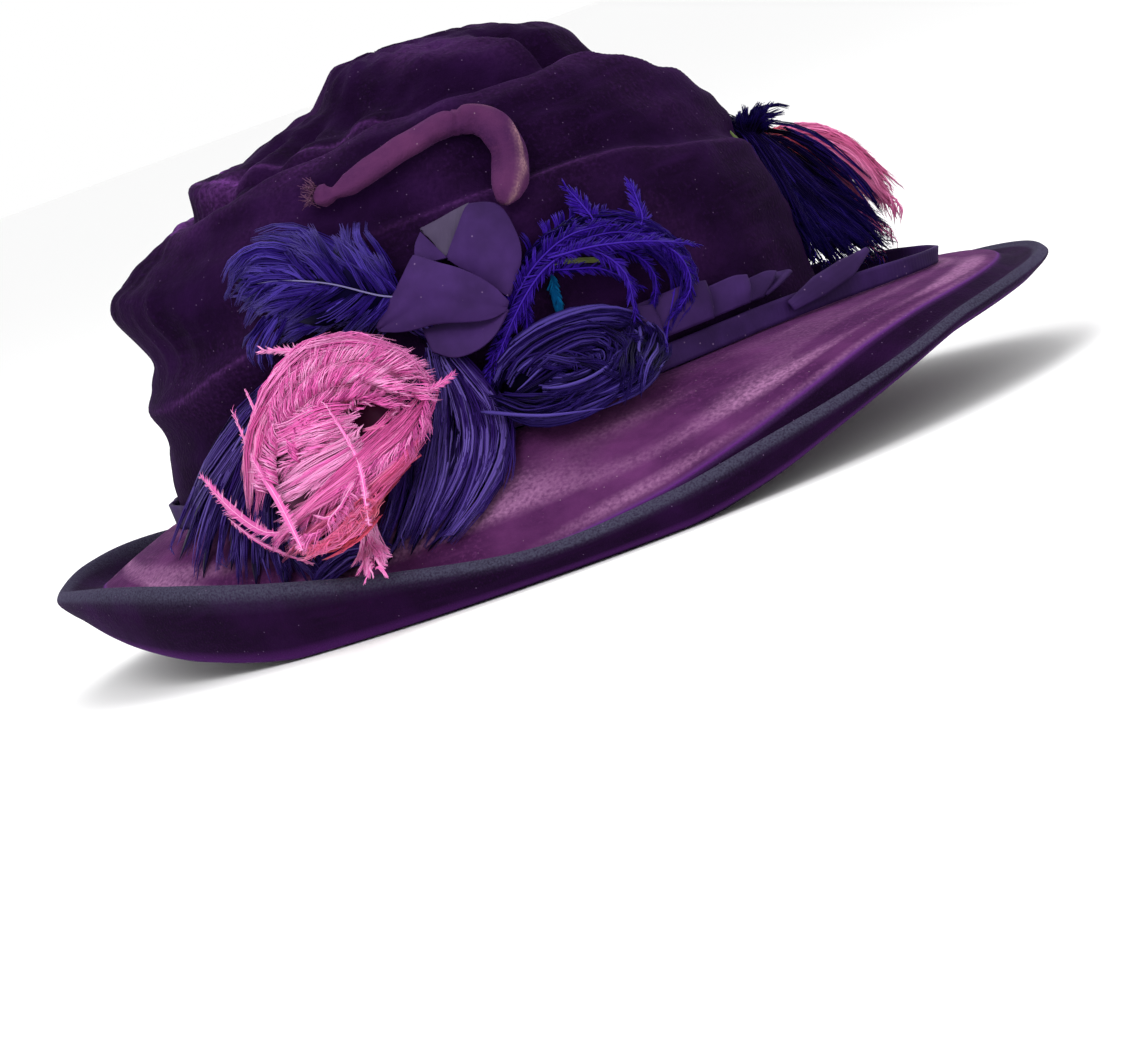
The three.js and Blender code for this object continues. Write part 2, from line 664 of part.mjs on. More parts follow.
// The pink rosette is a plume curled on itself: a cushion with arcs wound round its eye and loose tips.
const ROSETTE_BODY = {
  from: [-44, 63, 12],
  to: [-75, 34, 11],
  widths: [30, 46, 52, 36],
  thick: [15, 22, 22, 13],
};
const ROSETTE_ARCS = [
  { eye: [-46, 61], radii: [10, 8], start: 60, sweep: 190, off: [24, 21], width: 9, thick: 8 },
  { eye: [-46, 61], radii: [11, 10], start: 235, sweep: 150, off: [22, 22], width: 9, thick: 8 },
  { eye: [-51, 58], radii: [23, 18], start: 20, sweep: 120, off: [17, 17], width: 12, thick: 10 },
  { eye: [-56, 54], radii: [29, 25], start: 120, sweep: 90, off: [14, 13], width: 14, thick: 10 },
  { eye: [-56, 50], radii: [29, 27], start: 215, sweep: 90, off: [15, 16], width: 14, thick: 10 },
  { eye: [-50, 56], radii: [21, 20], start: 290, sweep: 80, off: [17, 18], width: 12, thick: 10 },
];
const ROSETTE_TIPS = [
  { from: [-75, 42, 13], to: [-98, 56, 8], width: 8 },
  { from: [-66, 56, 13], to: [-83, 73, 8], width: 7 },
  { from: [-55, 66, 14], to: [-72, 87, 7], width: 7 },
  { from: [-42, 58, 16], to: [-22, 59, 13], width: 7 },
  { from: [-60, 38, 12], to: [-58, 17, 5], width: 12 },
  { from: [-68, 38, 12], to: [-82, 22, 5], width: 12 },
];
const pinkRosette = (grow) =>
  fuse([
    strand(
      {
        line: besides([
          ROSETTE_BODY.from,
          ROSETTE_BODY.from.map((value, i) => (value + ROSETTE_BODY.to[i]) / 2),
          ROSETTE_BODY.to,
        ]),
        widths: ROSETTE_BODY.widths,
        thick: ROSETTE_BODY.thick,
        facing: vec(-0.1, -1, 0.3),
        sides: 8,
        steps: 3,
      },
      grow,
    ),
    ...ROSETTE_ARCS.map((arc) => whorlArc(arc, grow)),
    ...ROSETTE_TIPS.map((tip) => lock({ ...tip, thick: 6 }, grow)),
  ]);

// A fall is a bunch of locks that hang from one root: the tip of each lock, and where it bulges on its way.
// The locks start side by side, spread over part of the way between their tips.
const ROOT_SPREAD = 0.07;
function fall({ root, neck, tips, width, thick, facing }, grow) {
  const middle = tips.reduce((sum, { to }) => sum.add(to), vec(0, 0, 0)).divideScalar(tips.length);
  return fuse(
    tips.map(({ by, to }, i) => {
      const aside = to.clone().sub(middle).multiplyScalar(ROOT_SPREAD);
      const start = root.clone().add(aside).addScaledVector(neck.clone().sub(root), 0.05 * (i % 3));
      return strand(
        {
          line: [start, neck.clone().addScaledVector(aside, 1.7), by, to],
          widths: [width * 0.6, width, width, width * 0.8, 1.6],
          thick: [thick * 0.7, thick, thick, thick * 0.7, 1.8],
          facing,
        },
        grow,
      );
    }),
  );
}
const fallBeside = ({ root, neck, tips, width, thick }, grow) =>
  fall(
    {
      root: beside(root),
      neck: beside(neck),
      tips: tips.map(({ by, to }) => ({ by: beside(by), to: beside(to) })),
      width,
      thick,
    },
    grow,
  );
const FALL_RIGHT = {
  root: [-24, 68, 3],
  neck: [-21, 61, 4],
  width: 12,
  thick: 6,
  tips: [
    { by: [-16, 50, 4], to: [-23, 33, 2] },
    { by: [-21, 47, 5], to: [-33, 27, 2] },
    { by: [-27, 45, 6], to: [-44, 20, 2] },
    { by: [-32, 46, 6], to: [-55, 17, 2] },
  ],
};
const FALL_BACK = {
  root: [-64, 74, 3],
  neck: [-73, 68, 4],
  width: 14,
  thick: 6,
  tips: [
    { by: [-90, 63, 4], to: [-110, 53, 2] },
    { by: [-92, 57, 4], to: [-115, 42, 2] },
    { by: [-90, 50, 5], to: [-110, 31, 2] },
    { by: [-86, 44, 6], to: [-99, 22, 2] },
    { by: [-80, 40, 6], to: [-86, 18, 2] },
  ],
};
const violetFallRight = (grow) => fallBeside(FALL_RIGHT, grow);
const violetFallBack = (grow) => fallBeside(FALL_BACK, grow);

// The dark coil of strands under the curled plume.
const COIL_BODY = {
  line: [[-8, 52, 6], [12, 51, 7], [31, 48, 6]],
  widths: [12, 24, 24, 12],
  thick: [9, 14, 14, 9],
};
const COIL_ARCS = [
  { eye: [12, 50], radii: [25, 14], start: 5, sweep: 170, off: [9, 9], width: 7, thick: 7 },
  { eye: [12, 50], radii: [25, 14], start: 185, sweep: 170, off: [9, 9], width: 7, thick: 7 },
  { eye: [12, 51], radii: [15, 7], start: 60, sweep: 200, off: [14, 14], width: 6, thick: 6 },
];
const violetCoil = (grow) =>
  fuse([
    strand(
      { ...COIL_BODY, line: besides(COIL_BODY.line), facing: vec(0, -1, 0.25), sides: 8, steps: 3 },
      grow,
    ),
    ...COIL_ARCS.map((arc) => whorlArc(arc, grow)),
  ]);

// The front plume hangs from the front of the crown to the brim, with a pink tuft curled behind it.
const FRONT_PLUME = {
  root: vec(80, 4, 99),
  neck: vec(87, 4, 90),
  width: 11,
  thick: 8,
  facing: vec(0.5, -0.85, 0.2),
  tips: [
    { by: vec(91, -3, 66), to: vec(93, -9, 47) },
    { by: vec(94, 1, 66), to: vec(101, -3, 44) },
    { by: vec(99, 4, 66), to: vec(109, 3, 42.5) },
    { by: vec(105, 6, 69), to: vec(117, 7, 42.5) },
    { by: vec(106, 9, 80), to: vec(122, 11, 50) },
  ],
};
const frontPlume = (grow) => fall(FRONT_PLUME, grow);
const TUFT_LOCKS = [
  [vec(84, 24, 86), vec(99, 27, 86), vec(114, 27, 78), vec(121, 24, 62)],
  [vec(86, 26, 80), vec(99, 31, 78), vec(111, 31, 68), vec(118, 28, 52)],
  [vec(84, 27, 74), vec(95, 32, 70), vec(105, 32, 62), vec(112, 28, 48)],
  [vec(98, 24, 84), vec(110, 22, 84), vec(121, 21, 75), vec(128, 20, 60)],
];
const frontTuft = (grow) =>
  fuse(
    TUFT_LOCKS.map((line) =>
      strand(
        { line, widths: [8, 14, 14, 11, 2], thick: [7, 10, 10, 8, 2], facing: vec(0.5, -0.5, 0.7), sides: 5 },
        grow,
      ),
    ),
  );

const finish = (color, roughness) => new THREE.MeshStandardMaterial({ color, roughness, metalness: 0 });
const hat = new THREE.Group();
function addMesh(name, solid, color, roughness) {
  const { vertProperties, triVerts, numProp } = solid.getMesh();
  const points = new Float32Array((vertProperties.length / numProp) * 3);
  for (let i = 0; i * numProp < vertProperties.length; i++)
    points.set(vertProperties.subarray(i * numProp, i * numProp + 3), 3 * i);
  const geometry = new THREE.BufferGeometry()
    .setAttribute("position", new THREE.BufferAttribute(points, 3))
    .setIndex(new THREE.BufferAttribute(triVerts, 1));
  geometry.computeVertexNormals();
  const mesh = new THREE.Mesh(geometry, finish(color, roughness));
  mesh.name = name;
  hat.add(mesh);
}
addMesh("velvet_crown", crownShell(), "#36104a", 0.9);
addMesh("velvet_brim", brimSolid(), "#6e3a6e", 0.85);

// Each piece of trimming is cut to lie on what is under it, the earlier ones first, with the gap between
// them.
const TRIMMINGS = [
  ["ribbon_band", ribbonBand, "#45246a", 0.65],
  ["velvet_roll", velvetRoll, "#6a4079", 0.85],
  ["bow_back", bowBack, "#5a5570", 0.7],
  ["bow_upper", bowUpper, "#45246a", 0.65],
  ["bow_lower", bowLower, "#4b2a72", 0.65],
  ["arch_quill", archQuill, "#6f7d4a", 0.6],
  ["teal_tip", tealTip, "#0f7f9c", 0.6],
  ["violet_coil", violetCoil, "#2b1f66", 0.75],
  ["ribbon_ruffle", ribbonRuffle, "#45246a", 0.65],
  ["ribbon_tail", ribbonTail, "#45246a", 0.65],
  ["arch_plume", archPlume, "#3f22a8", 0.75],
  ["violet_plume", violetPlume, "#3c2f86", 0.75],
  ["pink_rosette", pinkRosette, "#e867b4", 0.75],
  ["violet_fall_right", violetFallRight, "#382c7e", 0.75],
  ["violet_fall_back", violetFallBack, "#382c7e", 0.75],
  ["front_plume", frontPlume, "#1d1656", 0.75],
  ["front_pink_tuft", frontTuft, "#d06a98", 0.75],
];
const taken = [crownKeepOut(), brimSolid(GAP)];
for (const [name, make, color, roughness] of TRIMMINGS) {
  let solid = make(0);
  for (const space of taken) solid = solid.subtract(space);
  const [largest] = solid.decompose().sort((a, b) => b.volume() - a.volume());
  addMesh(name, largest, color, roughness);
  taken.push(make(GAP).add(largest));
}

export default hat;
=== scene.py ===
import math

import bpy
import numpy as np
from mathutils import Matrix, Vector


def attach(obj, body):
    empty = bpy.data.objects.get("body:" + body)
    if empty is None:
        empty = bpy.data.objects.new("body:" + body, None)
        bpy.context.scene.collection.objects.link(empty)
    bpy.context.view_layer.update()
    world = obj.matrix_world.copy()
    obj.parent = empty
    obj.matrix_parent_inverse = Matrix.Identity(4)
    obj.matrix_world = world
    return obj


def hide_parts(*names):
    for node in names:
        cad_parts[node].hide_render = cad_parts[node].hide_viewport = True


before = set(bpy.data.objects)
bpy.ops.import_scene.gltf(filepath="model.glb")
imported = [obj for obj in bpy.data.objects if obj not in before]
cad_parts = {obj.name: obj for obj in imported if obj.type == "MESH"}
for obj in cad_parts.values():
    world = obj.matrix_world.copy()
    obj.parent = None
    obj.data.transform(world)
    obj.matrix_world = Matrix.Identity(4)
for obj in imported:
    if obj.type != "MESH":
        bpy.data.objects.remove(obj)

bl_info = {
    "name": "Draped velvet cloche",
    "version": (1, 0, 0),
    "blender": (4, 5, 0),
    "location": "3D View > Sidebar > Cloche",
    "description": "Dresses the cloche in velvet, ribbon and ostrich plumes",
    "category": "Object",
}

# Lengths in the tables are millimetres, as in the part's source; meshes are made in metres.
MM = 0.001
GAP = 0.35
BRIM_HALF = np.array([160.0, 145.0])
HEAD_HALF = np.array([97.0, 81.0])
CROWN_SHIFT = -12.0
CROWN_HALF = np.array([103.0, 87.0])
CROWN_BASE = 38.6
CROWN_HEIGHT = 110.0
CROWN_FULLNESS = 2.35
CROWN_WALL = 3.0
LEDGE_WIDTH = 11.0
LEDGE_TOP = CROWN_BASE - GAP
BRIM_THICKNESS = 3.0
CREASE_INSET = 16.0
GUTTER_INSET = 9.5
MERIDIAN = 165.0
QUARTER = math.pi / 2

# Heights over the table of the brim's crease, gutter, rim and underside, by degrees from the front.
BRIM_COLUMNS = ("angle", "crease", "gutter", "rim", "under")
BRIM_SIDE = np.array([
    (0, 33, 29, 30.5, 24.5), (25, 33, 28, 30, 23.5), (40, 32.5, 26.5, 28, 21.5), (50, 30, 22, 23.5, 16.5),
    (60, 25, 15, 19.5, 10.5), (70, 19, 8.5, 16, 4), (80, 13.5, 4, 12, 0), (95, 9.5, 3.4, 9.8, 0),
    (110, 9.5, 3.4, 15.6, 0), (125, 10.5, 4, 23, 0), (140, 16, 10, 30, 6.5), (152, 22.5, 18, 33.5, 14.5),
    (164, 28, 26, 34, 22.5), (180, 30, 28, 32.5, 25),
])
BRIM_SECTIONS = np.vstack([BRIM_SIDE[:0:-1] * (-1, 1, 1, 1, 1), BRIM_SIDE[:-1]])

# Height over the crown's base and lift of each wrapped fold, by degrees from the front.
FOLD_COLUMNS = "angle band bandLift puff puffLift side sideLift upper upperLift pleat pleatLift".split()
CROWN_FOLDS = np.array([
    (-180, 36, 3.5, 62, 13, 56, 0, 81, 3.5, 93, 5.5),
    (-155, 35, 4, 61.5, 11, 57, 0, 81.5, 4, 94, 4),
    (-140, 39, 4.5, 62, 6.5, 59, 0, 84.5, 4.5, 95, 3),
    (-125, 45, 4.5, 64, 3, 61, 0.5, 87.5, 4.5, 96, 3),
    (-110, 49, 3, 67, 1, 63, 1, 90, 4.5, 98, 3),
    (-93, 47, 1, 67, 0, 64, 2, 93.5, 4.5, 98.5, 2),
    (-75, 42, 0, 66, 0, 63, 3.5, 92, 4.5, 98, 0),
    (-55, 38, 0, 66, 0, 61.5, 4, 90, 5, 98, 0),
    (-33, 36, 0, 66, 0, 55, 4, 90, 5, 99, 0),
    (-15, 35, 0, 66, 0, 50, 3, 78, 4.5, 98, 0),
    (5, 34, 0, 65, 0, 46, 1, 69, 4, 97, 0),
    (45, 34, 1, 64, 0, 47, 3, 80, 4.5, 97, 1),
    (90, 36, 2.5, 64, 0, 57, 3, 88, 4.5, 98, 2),
    (135, 40, 4, 65, 5, 58, 0.5, 86, 4.5, 96, 3),
])
# Each fold's reach below and above its crest, and the groove that it casts beyond its sharp side.
FOLD_SHAPES = (
    ("band", 5, 9, 1.6), ("puff", 8.5, 15, 1.5), ("side", 26, 4, 1.6), ("upper", 20, 4.5, 2.2),
    ("pleat", 6, 9, 1),
)
CROWN_SINK = 4.0
TOP_PUFF = {"x": 8, "y": -2, "radius": 39, "edge": 14, "lift": 8.7}
# Valleys that run down from the top puff: angle, lowest and highest height, depth, half width.
CROWN_GATHERS = (
    (-34, 92, 104, 6, 3.5), (-88, 98, 106, 3, 5), (-112, 95, 105, 4.5, 6), (-131, 89, 104, 4, 4.5),
    (-150, 83, 102, 4, 5), (165, 84, 103, 3.5, 5), (125, 88, 104, 4, 5), (85, 92, 105, 4, 5),
    (35, 84, 104, 4, 5),
)


def smoothstep(x):
    """3t^2 - 2t^3 of x held between 0 and 1."""
    t = np.clip(x, 0, 1)
    return t * t * (3 - 2 * t)


def bell(x):
    return np.exp(-np.square(x))


def catmull_rom(a, b, c, d, t):
    """A Catmull-Rom curve through four values, read at t from b to c."""
    return b + 0.5 * t * (c - a + t * (2 * a - 5 * b + 4 * c - d + t * (3 * (b - c) + d - a)))


def column(table, names, name, angle):
    """One column of a table read at any angle by a Catmull-Rom curve that closes after a full turn."""
    ends = np.append(table[:, 0], table[0, 0] + 360)
    count = len(table)
    turned = (np.asarray(angle, float) - ends[0]) % 360 + ends[0]
    i = np.clip(np.searchsorted(ends, turned, side="right") - 1, 0, count - 1)
    t = (turned - ends[i]) / (ends[i + 1] - ends[i])
    values = table[:, names.index(name)]
    a, b, c, d = (values[(i + shift) % count] for shift in (-1, 0, 1, 2))
    return catmull_rom(a, b, c, d, t)


def climb_at(height):
    return np.arcsin(np.minimum(1, np.maximum(height, 0) / CROWN_HEIGHT) ** (CROWN_FULLNESS / 2))


def along_at(climb):
    return MERIDIAN * climb / QUARTER


def dome(angle, climb):
    """The plain dome: a superellipse of CROWN_FULLNESS carried round an ellipse, by angle and climb."""
    a = np.radians(angle)
    spread = np.maximum(0, np.cos(climb)) ** (2 / CROWN_FULLNESS)
    rise = np.maximum(0, np.sin(climb)) ** (2 / CROWN_FULLNESS)
    return np.stack([
        CROWN_SHIFT + CROWN_HALF[0] * spread * np.cos(a),
        CROWN_HALF[1] * spread * np.sin(a),
        CROWN_BASE + CROWN_HEIGHT * rise,
    ], -1)


def outward(angle, climb):
    a = np.radians(angle)
    return np.stack([np.cos(climb) * np.cos(a), np.cos(climb) * np.sin(a), np.sin(climb) + 0 * a], -1)


def drape(angle, climb):
    """How far the velvet stands off the dome: folds as two-sided bells with a groove beyond their sharp
    side, the sunken top with its puff, and the gathers that run down from it, all fading to nothing at
    the base."""
    along = along_at(climb)
    place = dome(angle, climb)
    lift = -CROWN_SINK * smoothstep((along - 90) / 25)
    for fold, below, above, groove in FOLD_SHAPES:
        past = along - along_at(climb_at(column(CROWN_FOLDS, FOLD_COLUMNS, fold, angle)))
        height = column(CROWN_FOLDS, FOLD_COLUMNS, fold + "Lift", angle)
        sharp = min(below, above)
        side = 1 if above < below else -1
        lift = lift + height * bell(past / np.where(past < 0, below, above))
        lift = lift - groove * np.minimum(1, height / 3) * bell((side * past - 2 * sharp) / sharp)
    off = np.hypot(place[..., 0] - TOP_PUFF["x"], place[..., 1] - TOP_PUFF["y"])
    lift = lift + TOP_PUFF["lift"] * smoothstep((TOP_PUFF["radius"] - off) / TOP_PUFF["edge"] + 0.5)
    reach = np.hypot(place[..., 0] - CROWN_SHIFT, place[..., 1])
    for run, low, high, depth, width in CROWN_GATHERS:
        turn = np.radians(angle - run)
        aside = reach * np.sin(turn)
        start, end = along_at(climb_at(low)), along_at(climb_at(high))
        window = smoothstep((along - start) / 6) * smoothstep((end - along) / 10 + 1)
        lift = lift - depth * window * bell(aside / width) * (np.cos(turn) >= 0)
    return lift * smoothstep(along / 16)


def ripple(place, length, seed, count=18):
    """A smooth random field over space: waves of about one length in all directions, added up, about -1
    to 1."""
    rng = np.random.default_rng(seed)
    ways = rng.normal(size=(count, 3))
    ways /= np.linalg.norm(ways, axis=1, keepdims=True)
    ways *= rng.uniform(0.6, 1.5, (count, 1)) / length
    phases = rng.uniform(0, 2 * math.pi, count)
    total = np.zeros(place.shape[:-1])
    for way, phase in zip(ways, phases):
        total += np.sin(2 * math.pi * (place @ way) + phase)
    return total / math.sqrt(count)


def crush(angle, climb):
    """Small wrinkles on the drape, in millimetres: long ones along the folds, short ones across the back
    puff."""
    along = along_at(climb)
    a = np.radians(angle)
    lie = np.stack([90 * np.cos(a), 90 * np.sin(a), 3.2 * along], -1)
    stand = np.stack([230 * np.cos(a), 230 * np.sin(a), 0.8 * along], -1)
    back = smoothstep((-np.cos(a + 0.25) - 0.35) / 0.4)
    low = smoothstep((118 - along) / 30) * smoothstep((along - 30) / 20)
    folds = 0.55 * ripple(lie, 34, 3) - 0.45 * np.abs(ripple(lie, 60, 5))
    pleats = -0.9 * np.abs(ripple(stand, 36, 8)) * back * low
    return (folds + pleats) * smoothstep(along / 20)


def crown_point(angle, climb, lift=0.0):
    """The velvet's skin, moved off it by lift."""
    return dome(angle, climb) + outward(angle, climb) * (drape(angle, climb) + lift)[..., None]


def rim_at(angle):
    a = np.radians(angle)
    return np.stack([BRIM_HALF[0] * np.cos(a), BRIM_HALF[1] * np.sin(a)], -1)


def head_at(angle):
    a = np.radians(angle)
    return np.stack([CROWN_SHIFT + HEAD_HALF[0] * np.cos(a), HEAD_HALF[1] * np.sin(a)], -1)


def reach_at(angle):
    return np.linalg.norm(rim_at(angle) - head_at(angle), axis=-1)


def brim_height(name, angle):
    return column(BRIM_SECTIONS, BRIM_COLUMNS, name, angle)


def brim_top(angle, inset):
    """Height of the brim's top by angle and distance in from the rim, from the crown's ledge to the
    crease."""
    crease = brim_height("crease", angle)
    start = reach_at(angle) - LEDGE_WIDTH
    t = np.clip((start - inset) / (start - CREASE_INSET - 1), 0, 1)
    return LEDGE_TOP + (crease - LEDGE_TOP) * (0.75 * t + 0.25 * t * t)


def brim_place(angle, inset, height):
    rim = rim_at(angle)
    inward = head_at(angle) - rim
    inward /= np.linalg.norm(inward, axis=-1, keepdims=True)
    flat = rim + inward * np.asarray(inset)[..., None]
    tall = np.broadcast_to(np.asarray(height)[..., None], flat.shape[:-1] + (1,))
    return np.concatenate([flat, tall], -1)


def off_crown(point):
    """How far points are off the crown's velvet, from the superellipsoid's implicit form less the drape."""
    rel = point - (CROWN_SHIFT, 0, CROWN_BASE)
    scaled = rel / (CROWN_HALF[0], CROWN_HALF[1], CROWN_HEIGHT)
    flat = np.hypot(scaled[..., 0], scaled[..., 1]) ** CROWN_FULLNESS
    tall = np.maximum(scaled[..., 2], 1e-6) ** CROWN_FULLNESS
    share = (flat + tall) ** (1 / CROWN_FULLNESS)
    climb = np.arctan2(np.sqrt(tall), np.sqrt(flat))
    angle = np.degrees(np.arctan2(scaled[..., 1], scaled[..., 0]))
    facing = (outward(angle, climb) * rel).sum(-1)
    off = (1 - 1 / share) * facing - drape(angle, climb)
    return np.where(scaled[..., 2] <= 0, np.inf, off)


def off_brim(point):
    share = np.full(point.shape[:-1], 0.5)
    for _ in range(8):
        half = BRIM_HALF + (HEAD_HALF - BRIM_HALF) * share[..., None]
        x = (point[..., 0] - CROWN_SHIFT * share) / half[..., 0]
        y = point[..., 1] / half[..., 1]
        angle = np.degrees(np.arctan2(y, x))
        share = share - (np.hypot(x, y) - 1) / 0.6
    return 0.8 * (point[..., 2] - brim_top(angle, share * reach_at(angle)))


def beside(spots):
    """Points on the wearer's right seen at x along the hat and z over the table, off the velvet by lift:
    each marches inwards along Y in steps that get finer, until it is that close."""
    spots = np.asarray(spots, float)
    x, z, lift = spots[..., 0], spots[..., 1], spots[..., 2]
    y = np.full(x.shape, -BRIM_HALF[1])
    for step in (2.0, 0.5, 0.125, 0.03):
        going = np.ones(x.shape, bool)
        while going.any():
            point = np.stack([x, y, z], -1)
            going = going & (y < 0) & (np.minimum(off_crown(point), off_brim(point)) > lift)
            y = np.where(going, y + step, y)
        y = y - step
    return np.stack([x, y, z], -1)


def facing_beside(spots):
    """The way that the velvet faces at those spots: the cross product of two short steps over it."""
    spots = np.asarray(spots, float)
    side, up = np.zeros_like(spots), np.zeros_like(spots)
    side[..., 0], up[..., 1] = 4, 4
    across = beside(spots + side) - beside(spots - side)
    along = beside(spots + up) - beside(spots - up)
    normal = np.cross(across, along)
    return normal / np.linalg.norm(normal, axis=-1, keepdims=True)


def smooth_line(points, t):
    """A Catmull-Rom curve through points, read at t from 0 to 1 by even steps of its own length."""
    points = np.asarray(points, float)
    ends = np.vstack([2 * points[0] - points[1], points, 2 * points[-1] - points[-2]])

    def at(s):
        spot = np.clip(s, 0, 1) * (len(points) - 1)
        i = np.clip(spot.astype(int), 0, len(points) - 2)
        f = (spot - i)[..., None]
        a, b, c, d = (ends[i + k] for k in range(4))
        return catmull_rom(a, b, c, d, f)

    fine = np.linspace(0, 1, 201)
    steps = np.linalg.norm(np.diff(at(fine)[:, :3], axis=0), axis=1)
    length = np.concatenate([[0], np.cumsum(steps)])
    return at(np.interp(np.asarray(t, float) * length[-1], length, fine))


def read_list(values, t):
    return np.interp(t, np.linspace(0, 1, len(values)), values)


def unit(vectors):
    return vectors / np.maximum(np.linalg.norm(vectors, axis=-1, keepdims=True), 1e-9)


def square_to(tangent, facing):
    """The part of facing that is square to a tangent, at unit length."""
    return unit(facing - tangent * (facing * tangent).sum(-1, keepdims=True))


def facings(facing, t):
    """The way out at each t: one way for all, or a line of ways read at t."""
    return np.broadcast_to(facing, (*np.shape(t), 3)) if np.ndim(facing) == 1 else smooth_line(facing, t)


# Meshes.


def grid_faces(rows, count, closed_rows=False, closed_columns=True):
    """Quads of a grid of points, rows by count, that close on themselves where asked."""
    r = np.arange(rows if closed_rows else rows - 1)[:, None]
    c = np.arange(count if closed_columns else count - 1)[None, :]
    rn, cn = (r + 1) % rows, (c + 1) % count
    return np.stack([r * count + c, r * count + cn, rn * count + cn, rn * count + c], -1).reshape(-1, 4)


def fan(ring, pole):
    """Triangles from each side of a ring of point numbers to one pole."""
    return np.stack([ring, np.roll(ring, -1), np.full_like(ring, pole)], -1)


def make_piece(node, points, faces, materials, values=None, uv=None, face_material=None):
    """Puts whole arrays into a mesh that rides on the root and stands for a CAD node. values are per
    point."""
    name = node + "_dressed"
    mesh = bpy.data.meshes.new(name)
    loops = np.concatenate([f.reshape(-1) for f in faces])
    sizes = np.concatenate([np.full(len(f), f.shape[1]) for f in faces])
    mesh.vertices.add(len(points))
    mesh.vertices.foreach_set("co", (points * MM).astype(np.float32).reshape(-1))
    mesh.loops.add(len(loops))
    mesh.loops.foreach_set("vertex_index", loops.astype(np.int32))
    mesh.polygons.add(len(sizes))
    starts = np.concatenate([[0], np.cumsum(sizes)[:-1]])
    mesh.polygons.foreach_set("loop_start", starts.astype(np.int32))
    mesh.polygons.foreach_set("loop_total", sizes.astype(np.int32))
    mesh.polygons.foreach_set("use_smooth", np.ones(len(sizes), bool))
    for material in materials:
        mesh.materials.append(material)
    if face_material is not None:
        mesh.polygons.foreach_set("material_index", face_material.astype(np.int32))
    for key, value in (values or {}).items():
        layer = mesh.attributes.new(key, "FLOAT", "POINT")
        layer.data.foreach_set("value", np.asarray(value, np.float32).reshape(-1))
    if uv is not None:
        layer = mesh.uv_layers.new(name="cloth")
        layer.data.foreach_set("uv", uv[loops].astype(np.float32).reshape(-1))
    mesh.update(calc_edges=True)
    if mesh.validate(verbose=False):
        raise RuntimeError(name + " has faces that Blender had to mend")
    piece = bpy.data.objects.new(name, mesh)
    bpy.context.scene.collection.objects.link(piece)
    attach(piece, "root")
    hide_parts(node)
    return piece


def strands(paths, half_width, half_depth, facing, sides=3):
    """Closed tapered tubes along many paths at once. paths is strands x steps x 3, the halves are strands
    x steps, and a section is a regular polygon, half_width wide across the path and half_depth deep
    towards facing."""
    count, steps = paths.shape[:2]
    tangent = unit(np.gradient(paths, axis=1))
    flat = square_to(tangent, facing)
    across = np.cross(tangent, flat)
    turn = 2 * math.pi * np.arange(sides) / sides + math.pi / 2
    ring = (
        paths[:, :, None]
        + across[:, :, None] * (half_width[..., None] * np.cos(turn))[..., None]
        + flat[:, :, None] * (half_depth[..., None] * np.sin(turn))[..., None]
    )
    points = ring.reshape(-1, 3)
    one = grid_faces(steps, sides)
    base = (np.arange(count) * steps * sides)[:, None, None]
    walls = (one[None] + base).reshape(-1, 4)
    first = (np.arange(sides)[::-1][None] + base[:, 0]).reshape(-1, sides)
    last = (np.arange(sides)[None] + (steps - 1) * sides + base[:, 0]).reshape(-1, sides)
    return points, [walls[:, ::-1], first[:, ::-1], last[:, ::-1]]


def sheet_solid(middle, half):
    """A sheet with a thickness from its middle surface, rows x columns x 3: two skins joined round their
    edges."""
    rows, cols = middle.shape[:2]
    du, dv = np.gradient(middle, axis=1), np.gradient(middle, axis=0)
    normal = unit(np.cross(du, dv))
    points = np.stack([middle + normal * half, middle - normal * half]).reshape(-1, 3)
    top = grid_faces(rows, cols, closed_columns=False)
    under = top[:, ::-1] + rows * cols
    i = np.arange(rows * cols).reshape(rows, cols)
    border = np.concatenate([i[0, :-1], i[:-1, -1], i[-1, :0:-1], i[:0:-1, 0]])
    after = np.roll(border, -1)
    side = np.stack([after, border, border + rows * cols, after + rows * cols], -1)
    return points, [top, under, side]


# Materials.


def linear(code):
    """A colour written as sRGB hex, as the linear red, green and blue that shaders take."""
    parts = np.array([int(code[i : i + 2], 16) for i in (1, 3, 5)]) / 255
    return tuple(np.where(parts <= 0.04045, parts / 12.92, ((parts + 0.055) / 1.055) ** 2.4))


def add_node(tree, kind, inputs=None, **settings):
    """Adds a shader node, makes its settings and fills its inputs with other nodes' outputs, values or
    colours, where a colour may be written as hex."""
    made = tree.nodes.new("ShaderNode" + kind)
    for key, value in settings.items():
        setattr(made, key, value)
    for key, value in (inputs or {}).items():
        if isinstance(value, str):
            value = linear(value)
        if isinstance(value, bpy.types.NodeSocket):
            tree.links.new(value, made.inputs[key])
        elif hasattr(value, "__len__") and len(made.inputs[key].default_value) == 4:
            made.inputs[key].default_value = (*value[:3], 1)
        else:
            made.inputs[key].default_value = value
    return made


FACTOR, FIRST, SECOND, MIXED = 0, 6, 7, 2  # sockets of a colour mix


def blend(tree, factor, first, second):
    """The colour between two, by factor."""
    inputs = {FACTOR: factor, FIRST: first, SECOND: second}
    return add_node(tree, "Mix", inputs, data_type="RGBA").outputs[MIXED]


def span(tree, value, low, high, start=0.0, end=1.0):
    """The value carried over from low to high to between start and end, and held there."""
    return add_node(tree, "MapRange", {0: value, 1: low, 2: high, 3: start, 4: end}).outputs[0]


def calculate(tree, operation, first, second, **settings):
    return add_node(tree, "Math", {0: first, 1: second}, operation=operation, **settings).outputs[0]


def noise(tree, place, scale, detail, roughness=0.5):
    inputs = {"Vector": place, "Scale": scale, "Detail": detail, "Roughness": roughness}
    return add_node(tree, "TexNoise", inputs).outputs["Fac"]


def value_of(tree, key):
    """A value that the mesh holds for each point."""
    return add_node(tree, "Attribute", attribute_name=key).outputs["Fac"]


